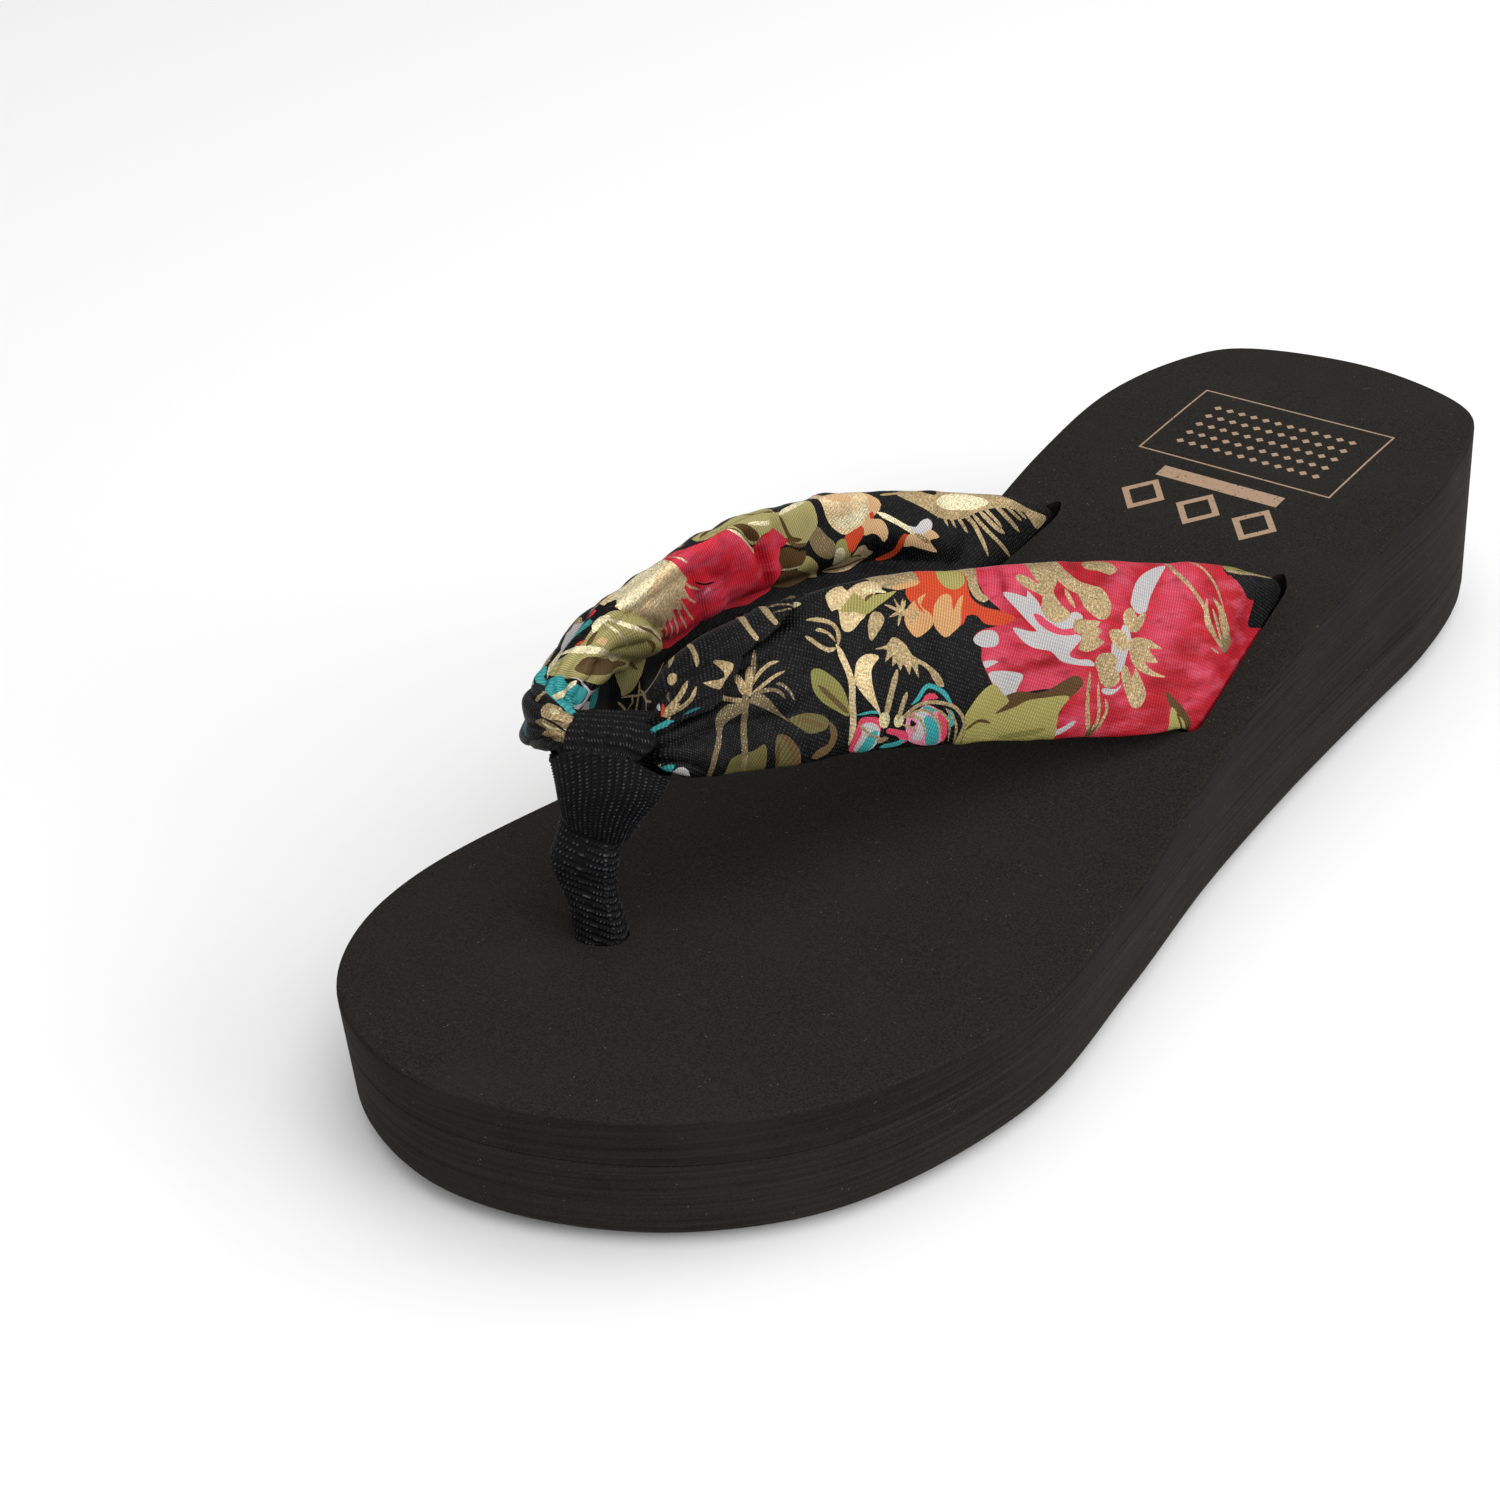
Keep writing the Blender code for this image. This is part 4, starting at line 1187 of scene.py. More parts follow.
    ("cream", ((56, 15.2), (56.6, 16.1), (57.5, 16), (57.8, 15.1), (57.4, 14.3), (56.5, 14.3))),
    ("gold", 0.8, ((55.8, 19.3), (56.5, 17.4), (57.1, 15.2))),
    ("pink", ((59.8, 14.6), (60.4, 15.6), (62, 16), (63.8, 15.8), (64.4, 13.9), (65, 11),
              (63.8, 10.4), (61, 11.4))),
    ("grey", ((60.2, 14.2), (62.1, 15.2), (63.5, 14.9), (63.4, 13.7), (64.2, 11), (62.8, 10.4),
              (60.4, 12))),
    ("teal", ((60.5, 13.8), (61.9, 13.8), (62.9, 12.3), (63.6, 10.4), (62.1, 10.6), (60.8, 12.2))),
    ("gold", 0.8, ((58.4, 12.6), (59.6, 12.4), (60.6, 12.4))),
    ("gold", 0.4, ((59.8, 12.7), (61.9, 13.4), (64, 14.9))),
    ("teal", 0.4, ((60.5, 16.4), (62.1, 16.7), (64.5, 16.3))),
    ("cream", ((58.5, 15.4), (59, 16.4), (60, 16.4), (60.5, 15.4), (59.9, 14.3), (58.9, 14.2))),
    # Painted highlight: this stem is in a lighter copy of the gold
    ("pale gold", 1.0, ((65.2, 11.8), (64.9, 15), (65.3, 18.2), (65.4, 21.1), (66.4, 24.5),
                        (67.2, 26.6))),
    ("gold", 0.65, ((67.1, 26.3), (66.6, 27.7), (66.6, 29.1), (67.5, 30), (69.4, 30.3),
                    (71.3, 30.2))),
    ("gold", 0.5, ((67.3, 27), (68, 28.4), (69.1, 28.9), (70, 28.8))),
    ("gold", 0.7, ((67.3, 26.1), (68.5, 25.8), (69.8, 26.4), (70.7, 27.3), (71.8, 28))),
    ("olive", ((65.7, 16.1), (66, 18.4), (67.1, 20.7), (68.9, 22.3), (70.5, 23.2), (71.6, 23),
               (71.9, 21.8), (71.6, 20), (70, 18.2), (67.8, 17))),
    ("brown", 0.8, ((65.8, 16.6), (68.2, 18.6), (70.8, 20.8))),
    ("brown", 1.3, ((68.9, 15.4), (68, 13.4), (68.9, 11.8), (70.5, 11.4), (72, 10.8))),
    # Painted shade: this leaf by the loop is in a darker copy of the olive
    ("shaded olive", ((76.3, 16.1), (75.3, 15.3), (72.8, 14.1), (71.2, 14.2), (69.8, 14.4),
                      (69, 15.2), (69.4, 16), (70.7, 16.6), (73, 16.9), (74.8, 16.6))),
    ("brown", 0.6, ((70, 14.8), (72.6, 15.8), (74.6, 15.9))),
    # Painted shade: this leaf by the loop is in a darker copy of the olive
    ("shaded olive", ((74.6, 9), (74.4, 11.6), (75.3, 12.7), (76.6, 13.8), (78, 14.1), (78.6, 13.4),
                      (78.8, 11.6), (78, 9.6), (77.4, 7.6))),
    ("brown", ((74, 9.6), (74.4, 11.6), (75.3, 12.7), (76.6, 13.8), (78.2, 14.1), (76.8, 12.6),
               (75.8, 10.8), (75.4, 9))),
    ("dark olive", 0.7, ((78, 9.4), (78.3, 11.4), (78.2, 13))),
    # Painted shade: this leaf by the loop is in a darker copy of the olive
    ("shaded olive", ((80, 6), (80.2, 10.5), (80.5, 12.6), (81.2, 12.6), (82.5, 11.8), (84.1, 11.4),
                      (85.3, 10.9), (86.4, 9.8), (87, 6))),
    ("gold", 0.5, ((77, 24.3), (78.5, 23.9), (80.3, 22.7), (81.8, 21), (82.6, 19.6))),
    ("gold", 0.45, ((76.2, 22.9), (78, 22.2), (79.8, 21.1), (81.4, 20), (82.4, 19.2))),
    ("worn gold", 0.5, ((78.2, 21), (77.3, 20.9), (76.2, 20), (75.2, 18.7))),
    ("worn gold", 0.55, ((77.1, 19), (78, 19.9), (79.4, 20.2), (81.2, 19.8), (82.4, 19.2))),
    ("worn gold", ((83, 18.5), (82, 19.3), (80.9, 19.6), (79.8, 19), (78.5, 17.7), (76.9, 16.4),
                   (76.2, 15.7), (77.8, 16.6), (80, 17.4), (81.9, 18.1))),
    ("worn gold", 0.7, ((80.3, 25.9), (81, 23.6), (81.7, 21.8), (82.4, 19.6))),
    ("gold", ((81.4, 23.6), (82.2, 22.9), (82.8, 20.8), (82.9, 19.2), (82.1, 19.6),
              (81.5, 21.6))),
    ("gold", 1.2, ((84.2, 22.9), (83.3, 21.1), (82.9, 19))),
    ("gold", 0.75, ((83.1, 18.5), (85.3, 18.9), (87.6, 19.8))),
    ("worn gold", ((82.7, 19.4), (83.4, 19.4), (84, 18.4), (85.6, 18.1), (86.8, 17.1),
                   (87.5, 15.9), (87.4, 14.2), (88, 12.6), (89.3, 10.6), (90, 8), (89.3, 7.8),
                   (88.6, 10.2), (87.1, 12.6), (86.6, 14.6), (85.8, 15.8), (84, 16.9),
                   (83, 17.6))),
    ("worn gold", 0.9, ((83.3, 18.4), (83.6, 15), (83.8, 11.6), (83.7, 8.6))),
    ("dull gold", 0.9, ((83.8, 11), (83.7, 9.6), (83.6, 8))),
    ("gold", ((85.4, 23.9), (85.8, 24.2), (86.6, 24.3), (87, 23.9), (86.7, 22.9), (86.8, 22.2),
              (87.5, 21.7), (88.9, 21), (87.6, 20.7), (86.9, 21.7), (86.2, 22.6), (85.8, 23.1))),
    ("grey", ((77.8, 33.6), (77.9, 32.4), (78.6, 32.1), (79.9, 31.9), (80.1, 32.8), (79, 33.8))),
    ("brown", 0.4, ((72.4, 33.9), (75, 33.5), (77, 32.9))),
    ("gold", ((76.9, 33.8), (77.05, 32.4), (77.1, 31.2), (76.95, 30.5), (77.6, 30.1),
              (78.1, 31), (78, 31.9), (77.7, 32.8), (77.8, 33.8))),
    ("gold", ((80, 32.6), (80.2, 31.4), (80.6, 30.2), (80.8, 29.2), (80.4, 28.3), (81, 27.9),
              (81.5, 28.8), (81.5, 29.8), (81.1, 31), (80.9, 32.6))),
    ("worn gold", 0.22, ((73.8, 32.2), (74.6, 32.7), (75.8, 32.7), (77, 32.3))),
    ("worn gold", 0.2, ((74.2, 32), (75, 32.2), (76.9, 31.7))),
    ("cream", ((71.1, 32.8), (71.8, 33.4), (72.6, 33.1), (72.4, 32.4))),
    ("grey", 0.25, ((88.6, 26.8), (89.4, 26.4), (90.2, 25.6))),
    ("gold", 0.4, ((87.6, 27.6), (87.8, 26.1), (88, 24.7), (88.4, 23.3))),
    ("gold", ((88.9, 26.6), (89.6, 26.4), (90.3, 25.4), (90, 24.6), (90.7, 23), (89.7, 24.4),
              (89.2, 25.4))),
    ("gold", ((90.5, 22.1), (90.9, 22.1), (91.4, 21.3), (91.6, 20.5), (91.2, 20.6), (90.7, 21.4))),
    ("gold", 0.26, ((89.6, 20.4), (90.6, 18.9), (92, 17.4), (93.4, 16))),
    ("gold", 0.32, ((90, 21), (91.1, 19.4), (92.3, 17.8), (93.7, 16.1))),
    ("gold", ((91.8, 18), (92.5, 17.6), (93.2, 16.8), (93.6, 16.1), (93.1, 16.1), (92.4, 17))),
    ("worn gold", 0.16, ((92, 19.5), (92.3, 18.8), (92.5, 17.9))),
    ("orange", 0.22, ((93, 17.8), (93.2, 17), (93.7, 16.1))),
    ("grey", ((93.3, 17.8), (93.5, 18.3), (93.7, 17.6), (93.65, 17), (93.45, 16.9))),
    ("dark teal", 0.25, ((90.2, 18), (91, 17.4), (91.9, 16.6))),
    ("cream", 0.25, ((93, 16.2), (93.4, 15.3))),
    ("teal", ((92.8, 15.4), (93.4, 15.6), (94, 15.2), (94.8, 14.5), (95.2, 13.6), (95, 12.8),
              (94.5, 13.8), (94.3, 14.3), (93.4, 14.6))),
    ("dark teal", 0.45, ((95.2, 12.8), (96.8, 12.9), (98.6, 12.1), (99.6, 11.2))),
    ("grey", ((92.6, 6.6), (92.8, 8.5), (93.6, 9.5), (95, 9.3), (96, 8.4), (96.2, 6.8))),
    ("teal", ((94.5, 9.8), (95.6, 10), (96.5, 9.6), (96.3, 9), (95.2, 9.3))),
    ("cream", 0.4, ((95.4, 10.2), (96.6, 9.9), (97.8, 9.8))),
)

# The inner face's print, on its own chart, with a few painted highlights in cream among it
INNER_PRINT = (
    ("dim gold", ((163.6, -92.2), (168.7, -92.7), (170, -94.2), (172, -95), (174.4, -93),
                  (182, -95), (182.4, -97.6), (186, -99.8), (190, -102.4), (193.6, -104.8),
                  (188, -102.6), (184, -101), (180, -100.4), (176, -100.6), (172.4, -99.6),
                  (170.2, -98.2), (168.3, -96.3), (166.3, -94.7), (164.3, -93.3))),
    # Painted highlight on the wing, in cream
    ("cream", ((171.4, -96), (175, -95.6), (179, -97), (182, -99.4), (179, -99.8), (175, -98.8),
               (172, -97.4))),
    ("dim gold", 0.5, ((171.2, -97.8), (170.8, -99))),
    ("dim gold", 0.6, ((172.2, -98.6), (172.5, -100.9))),
    ("dim gold", 0.6, ((173.4, -99), (174, -101.6))),
    ("dim gold", 0.7, ((174.8, -99.6), (176.4, -103.2))),
    ("dim gold", 0.8, ((176, -99.4), (178.2, -102.6), (179, -108))),
    ("dim gold", 0.7, ((178, -100), (180.7, -104.7), (184.4, -109.4))),
    ("dim gold", 0.8, ((179.4, -99.8), (181.6, -103.4), (183.6, -105.4))),
    ("dim gold", 0.6, ((180.4, -99.6), (183.2, -104.2))),
    ("dim gold", 0.8, ((182.4, -99.4), (184.8, -103), (187.2, -105.9))),
    ("dim gold", 0.6, ((184, -99.6), (186.4, -102.6), (188.2, -104.3))),
    ("dim gold", 0.6, ((185.6, -100.2), (187.4, -102.2), (189.4, -104.2))),
    ("dim gold", ((189, -102.4), (192.6, -104), (194.4, -105.2), (191.6, -106.4), (190.2, -104.6))),
    ("dim gold", 0.35, ((159.6, -91.4), (162, -92), (164.4, -92.5))),
    ("dark olive", 0.6, ((160.4, -90.6), (164, -91.6), (168.4, -92.4))),
    ("peach", ((155.6, -90), (158.9, -92), (158.3, -93.4), (156, -94), (158.1, -95), (158.8, -97.4),
               (158, -98.9), (156.7, -97.3), (155.3, -96.3), (152.8, -95.6), (152, -93.6))),
    ("orange", ((148, -94.2), (150, -93.6), (152.5, -93.8), (152.9, -95.3), (151, -96.7),
                (149.7, -97.6), (148.4, -96.3))),
    ("gold", ((144.6, -85.2), (147, -85.6), (147, -86.9), (149.7, -87.9), (153.4, -88.2),
              (156.2, -90), (156, -92), (154.3, -93.4), (151, -93.9), (148.3, -93.8),
              (146.3, -92.3), (145, -90.3), (144.6, -87))),
    ("peach", 1.0, ((146.2, -87.3), (149, -88.4), (151.9, -89.5))),
    # Painted highlight on the flower's disc, in cream
    ("cream", ((146.4, -90.6), (150, -91.2), (154.8, -91.4), (154.6, -92.8), (152, -93.4),
               (148, -92.8))),
    ("orange", ((155.4, -93), (156.6, -93.2), (156.4, -94), (155.4, -93.9))),
    ("cream", 0.9, ((157.6, -93.6), (160, -95.5), (163.3, -98.3), (165.3, -100.4))),
    ("orange", ((157.6, -101.8), (160.6, -101.2), (161.1, -99.8), (162.2, -98.9), (163, -99.4),
                (162.3, -100.8), (161.3, -102.4), (158.8, -102.4))),
    ("grey", ((163.6, -98), (165.3, -98.7), (166.7, -98.2), (168.4, -98.2), (169.1, -99.3),
              (168, -100.4), (166.3, -100.4), (164.6, -99.4))),
    ("peach", ((163, -99.4), (164.6, -99.8), (166, -100.4), (168.3, -100.2), (169.9, -102.1),
               (167.7, -102), (169.1, -104.4), (166, -102.8), (164, -101.6), (162.4, -101.2))),
    ("dim gold", 0.8, ((164.6, -99.6), (166.2, -101), (167.6, -102.4))),
    ("olive", ((146, -94.2), (148, -94.4), (148.4, -96.4), (149.4, -98), (147.6, -98.6),
               (145, -96))),
    ("gold", ((150, -98.2), (151.3, -97.3), (153.3, -97.7), (155, -99.3), (156.4, -100.5),
              (152, -101.6), (147, -100.8), (145, -99.6), (147.6, -98.8))),
    # Painted highlight, in cream
    ("cream", ((145.3, -95.6), (147.2, -95.6), (147.8, -98), (146, -98.7))),
    ("brown", 0.5, ((144.6, -99.6), (149, -100.4), (155.6, -101))),
    ("brown", 0.4, ((149.4, -98.4), (151.6, -99), (154, -100.2))),
    ("dull gold", ((139.8, -90), (142.6, -90.6), (144, -92.4), (145.6, -94.4), (145, -96.6),
                   (143, -96), (140.6, -93.6))),
    ("light olive", ((113, -79.6), (118, -79), (126, -79.6), (134, -81.6), (134, -82.6),
                     (131.8, -84), (133, -84.7), (137, -85), (141.8, -85.2), (142.6, -86.3),
                     (142.7, -90.1), (140.6, -91.3), (138.4, -91.8), (133.6, -90), (131.2, -87.4),
                     (129.8, -85.9), (126.5, -85.4), (125.3, -87), (122.4, -84), (119.6, -82),
                     (113.2, -81.5))),
    ("black", ((133.4, -82), (142, -83.6), (141.6, -85), (137, -84.9), (133.2, -84.7),
               (132.4, -84))),
    ("dark olive", ((121, -82.1), (123.3, -82.8), (125.6, -84.7), (125.9, -86.1), (124.6, -86.1),
                    (122.4, -83.5))),
    ("cream", 0.45, ((124.1, -83.1), (128.2, -84.4), (130.2, -84.8))),
    ("cream", 0.7, ((132.6, -84.9), (137.4, -85.4), (142, -85.8))),
    ("dark olive", 0.4, ((113.6, -80.6), (118, -80.4), (124, -80.8))),
    ("dark olive", 0.3, ((126, -81.6), (129.6, -83.2), (131.8, -84.2))),
    ("dark olive", 0.8, ((132.5, -85), (133.8, -87.5), (135.3, -89.8), (137.8, -90.8))),
    ("brown", 0.6, ((133.6, -89), (136, -91), (139, -92))),
    ("light olive", ((136.6, -93.4), (139, -94), (141.2, -96), (143.5, -99.2), (144.6, -100.8),
                     (141.8, -99.9), (138.2, -97.3), (136.4, -95.6))),
    ("dark olive", ((131.8, -91), (134, -90.6), (137, -92.4), (138.6, -92.9), (137.4, -94.8),
                    (133, -94.6))),
    ("cream", 0.4, ((132.8, -94.4), (134.6, -94.8), (137, -95))),
    ("brown", ((133.4, -95.2), (136.4, -95.6), (140, -98), (143, -100), (139, -100.6),
               (133.6, -99), (131, -97.6))),
    ("red", ((104.6, -79), (110, -81), (113.4, -81.7), (119.4, -82), (122.2, -84.3), (125, -87.6),
             (126.6, -85.5), (130, -86), (131.8, -87.2), (134.2, -89.8), (132.6, -90.2),
             (132.4, -91.4), (131.6, -92), (133, -94.2), (130.4, -94.6), (130.8, -96.8),
             (134, -99.4), (129, -99.6), (125, -99.3), (121, -98.5), (118, -98.2),
             (111, -99.5), (105.6, -98.4), (101.4, -96.6), (100.4, -91.4), (100.2, -88),
             (103.4, -85.6), (104.2, -82))),
    ("cream", 0.5, ((119.4, -82), (122, -84.2), (125, -87.6), (125.6, -88.4))),
    ("black", 0.3, ((109.8, -86.8), (112, -87.8), (114.6, -88.4))),
    ("rose", 0.6, ((111.8, -89.6), (112.6, -88.8), (113.4, -89.2))),
    ("cream", 0.35, ((106, -80.6), (107, -82), (108, -83))),
    ("gold", ((91.4, -84), (98, -80.4), (104.7, -78.6), (105, -81), (105.6, -82.8), (107, -84.4),
              (108.4, -86), (106.4, -86), (107.4, -87.8), (105, -87.2), (105.6, -89.2),
              (103.6, -88.4), (103.8, -90.6), (102, -89.4), (101.4, -91.4), (97.4, -88.6))),
    ("gold", 0.4, ((106.8, -85.4), (108.8, -87.2), (111, -88.4))),
    ("gold", 0.35, ((105.6, -86.2), (107.8, -88.4), (110.4, -90.4))),
    ("gold", 0.4, ((105, -87.2), (106.8, -89.8), (109, -92.4))),
    ("gold", 0.35, ((104.2, -87.6), (105.8, -90.6), (107.4, -93.4))),
    ("gold", 0.4, ((103, -88), (104.6, -90.8), (105.6, -93.8))),
    ("gold", 0.35, ((102, -88.6), (103.6, -91.4), (104, -93.8))),
    ("gold", 0.35, ((100.8, -88.8), (102.2, -91.2), (102.9, -93.2))),
    ("cream", ((92, -84.2), (99, -80.8), (104.4, -79.6), (104.6, -81.4), (100, -82.8),
               (96, -85.4), (94.4, -85.4))),
    ("cream", 0.4, ((97, -87), (100.4, -85.6), (104, -84))),
    ("light olive", ((88.2, -86), (91.2, -85.2), (94.4, -85.8), (97.4, -87.8), (101, -91),
                     (102.4, -93.4), (101.6, -97.4), (99.9, -98.3), (98.5, -99.6), (97.3, -101.5),
                     (95.2, -101.6), (94.2, -99.8), (92.6, -97.4), (91.1, -95.4), (88, -95),
                     (84, -93.6), (80.4, -92), (77.8, -90.9), (79.6, -89.4), (82, -88.6),
                     (84.4, -87.8))),
    ("brown", ((79.4, -90.6), (82, -89.7), (84.6, -90), (86, -90.8), (90, -92.4), (93.4, -94.2),
               (89.4, -93.6), (85, -92.4), (82, -91.6))),
    ("dark olive", 0.35, ((80.4, -90.2), (83, -89.6), (85.4, -90))),
    # Painted highlight, in cream
    ("cream", 1.0, ((81.6, -88.3), (85, -88.9), (87.4, -90), (89.6, -91.6))),
    ("cream", ((89.6, -91.4), (91.8, -91.9), (91.4, -93), (89.4, -92.4))),
    ("peach", ((86, -88.1), (87.4, -87.8), (88.1, -88.2), (87, -88.7))),
    ("brown", 0.5, ((84.4, -88.3), (86, -87.6), (87.4, -87))),
    ("orange", 0.2, ((83.4, -88), (85, -87.6))),
    ("teal", 0.8, ((83.6, -86.9), (86, -86), (88.6, -85.2))),
    ("black", 0.8, ((88.4, -85.4), (90.6, -84.8), (93, -84))),
    ("red", 0.8, ((88.6, -84.6), (89.6, -84.2), (90.4, -83.8))),
    ("grey", 0.9, ((78.4, -89.6), (80.4, -88.6), (83, -87.2))),
    ("cream", 0.6, ((86.6, -87), (88.4, -86), (90.2, -85.6))),
    ("cream", 0.45, ((88.6, -85.9), (90.6, -88), (92.6, -90.6))),
    ("cream", 0.6, ((88.8, -85.6), (93, -87.2), (97.3, -88.9), (99.9, -91.2), (101.6, -92.9))),
    ("brown", 0.4, ((94, -87.2), (97.6, -89.4), (100.2, -92.2))),
    ("brown", 0.8, ((96.4, -90.4), (97.6, -91.4), (97.8, -93))),
    ("brown", 0.6, ((94.4, -94.8), (96.6, -96.2), (98.4, -98))),
    ("teal", ((70, -91), (73, -90.4), (77.4, -89.6), (78.2, -90.6), (77, -91.4), (79, -92.3),
              (79.8, -92.8), (78.5, -93.5), (75.2, -93.5), (73.2, -92.4), (71.6, -92))),
    ("dark teal", 0.3, ((72.6, -91.4), (75.4, -91.2), (77.6, -90.6))),
    ("cream", 0.3, ((73.6, -91.6), (76, -91.8), (78, -91.4))),
    ("grey", ((78, -91), (79.8, -92), (80.4, -93.2), (83, -94), (84.6, -94.6), (82, -95),
              (78, -94.8), (75.4, -94.2), (74, -93), (76.6, -93.8), (79.4, -93.4), (79.6, -92.6))),
    ("grey", ((79.4, -96.6), (82, -96.8), (84, -97.4), (84.4, -98.8), (82, -98.4), (80, -97.6))),
    ("teal", ((85, -95), (86.7, -95.2), (86.5, -97.4), (85.8, -99.4), (84.2, -98.8), (84, -97.6))),
    ("dark teal", 0.6, ((83.4, -93.6), (84.6, -95.2))),
    ("deep red", ((94, -104.4), (95.4, -104.6), (97, -105.8), (99, -107.4), (100, -109.6),
                  (98.4, -109.4), (96.4, -107.2))),
    ("gold", 0.4, ((94.4, -102.4), (96.1, -103.9), (98, -106), (99.4, -108.4))),
    ("gold", 0.5, ((95, -101.8), (99.9, -103), (103.2, -102.7), (106.2, -100.5))),
    ("gold", 0.4, ((98.5, -99.9), (99.4, -104.5), (100, -109))),
    ("gold", 0.4, ((99.8, -102.8), (102.3, -105.6), (104.6, -107.2))),
    ("gold", 0.35, ((98.8, -101.4), (101.4, -104.4), (103.4, -108.4))),
    ("gold", 0.35, ((97.6, -102.4), (98.4, -104), (97.8, -105.4))),
)

# The outer face's print where only the strap's inner half shows it, beside the webbing loop, with
# one painted highlight in it
BESIDE_LOOP = (
    ("teal", ((94.8, 20.4), (98, 19.6), (105.4, 20.4), (107.4, 19.4), (107.8, 16.4), (106.8, 15.4),
              (105.9, 16.8), (105, 17.6), (103.3, 18.1), (101.2, 18.2), (96.8, 18.4))),
    ("grey", 0.5, ((94.6, 17.4), (95.6, 16.8), (97, 17.2))),
    ("teal", 0.7, ((94.4, 18), (96, 17.6), (97.4, 18.2))),
    ("cream", 0.7, ((92.6, 19.6), (94.4, 18.6), (96.4, 18.4))),
    ("peach", 0.5, ((94.6, 19.2), (96.4, 19))),
    ("grey", 1.0, ((91, 22.4), (92, 20.6), (93.4, 19.2))),
    ("dark olive", 0.8, ((90, 21.8), (91.6, 20))),
    ("gold", 0.55, ((99.4, 18.1), (100.3, 17.9), (100.2, 17.2), (98.9, 16.5))),
    ("gold", ((102.1, 17.1), (103.3, 17.5), (104.8, 17.5), (105.6, 16.8), (106.8, 15.6),
              (107.9, 14.9), (107, 14), (105.2, 14.4), (102.9, 14.2), (102, 15.5))),
    ("dull gold", ((101.2, 13.4), (103, 14.2), (105, 14.2), (107.2, 14.2), (108.6, 12.9),
                   (111, 12.8), (108, 11.6), (104.6, 11), (102.6, 11.8), (103.6, 12.6))),
    # Painted highlight, in cream
    ("cream", ((103.4, 16.4), (104.4, 16.8), (105, 15.8), (104.2, 15.2))),
    ("cream", 0.5, ((102.6, 13.6), (104.6, 13), (106.8, 13.4), (108.4, 12.6))),
    ("gold", ((104, 12.6), (105.6, 12.4), (106.6, 11.8), (105.2, 11.2))),
    ("black", 0.35, ((102.4, 14.4), (104.8, 13.8), (106.2, 12.9), (107.3, 12.2))),
)

# Washes of pink (more than 0) and deep red on the red petals. On the outer face they are the print's
# washes; on the inner face they are partly painted light, pink where the bulging cloth is lit.
# Columns: side, chart place, half widths, strength
PETAL_WASHES_AND_LIGHT = (
    (1, 5, 31, 2.6, 4.5, 0.8), (1, 8, 25, 3.5, 4.5, 0.7), (1, 11.5, 22, 3, 3, 0.45),
    (1, 2, 33.5, 3, 2.5, 0.5), (1, 0, 18.5, 2.6, 2, 0.55), (1, 2.5, 14.5, 3, 1.4, 0.5),
    (1, 16.5, 32, 2, 2.2, 0.6), (1, 21, 25, 1.8, 2.2, 0.6), (1, 20.5, 30.8, 2, 2, 0.5),
    (1, 14, 18, 2, 3, 0.3), (1, 22.5, 26, 3, 2.4, 0.5), (1, 24, 13, 2.6, 2.5, 0.6),
    (1, 26.5, 22.8, 2, 0.9, 0.5), (1, 29, 20, 5, 1.6, 0.7), (1, 33.5, 19, 3.5, 1.6, 0.7),
    (1, 36, 24, 4.5, 1, 0.4), (1, 39.5, 24, 2.8, 2.6, 0.8), (1, 38, 27.2, 3.5, 1.2, 0.7),
    (1, 35, 36, 5, 3, 0.75), (1, 39, 33, 2.5, 3, 0.9), (1, 33.5, 32.8, 2, 1, 0.5),
    (1, 27, 30.8, 2, 1, 0.5), (1, 18, 15, 2.5, 2, 0.3), (1, 12, 36.6, 3, 1, 0.5),
    (1, -9, 27, 3, 4, -0.9), (1, -2, 27, 1.6, 3.5, -0.7), (1, 3.5, 22.5, 3, 1.6, -0.7),
    (1, 5.5, 19, 2.5, 1, -0.6), (1, 9, 17, 3, 1.4, -0.5), (1, 9.5, 13, 3.5, 2, -0.5),
    (1, 17, 34.3, 3.5, 1.1, -0.9), (1, 12, 35, 2, 1, -0.4), (1, 21.5, 33, 2.5, 1, -0.5),
    (1, 18, 13, 3, 2, -0.4), (1, 28, 28, 3.5, 0.5, -0.6), (1, 34, 31.5, 1, 2, -0.5),
    (1, 31, 22.2, 5, 0.8, -0.8), (1, 37, 21, 4, 0.6, -0.6), (1, 35, 29, 1.8, 1, -0.5),
    (1, 23.5, 36.5, 2, 2.5, -0.8), (1, 28, 14, 1.5, 2, -0.4), (1, 37.4, 34, 0.7, 3, -0.8),
    # The inner face's washes, partly painted light where the bulging cloth is lit
    (-1, 108, -82, 3, 2, 0.6), (-1, 117, -83.4, 5, 1.6, 0.6), (-1, 113, -89.6, 2.4, 1.6, 0.9),
    (-1, 122, -86, 2, 2.4, 0.6), (-1, 118, -94.4, 4.5, 2, 0.8), (-1, 131.4, -88.4, 2, 1.6, 0.8),
    (-1, 113, -85.4, 4, 1.8, -0.3), (-1, 117, -87, 3, 1.6, -0.4), (-1, 110, -90.6, 1.6, 3, -0.5),
    (-1, 126, -92, 2.6, 6, -0.5), (-1, 104, -93.6, 3, 2.4, -0.4),
)

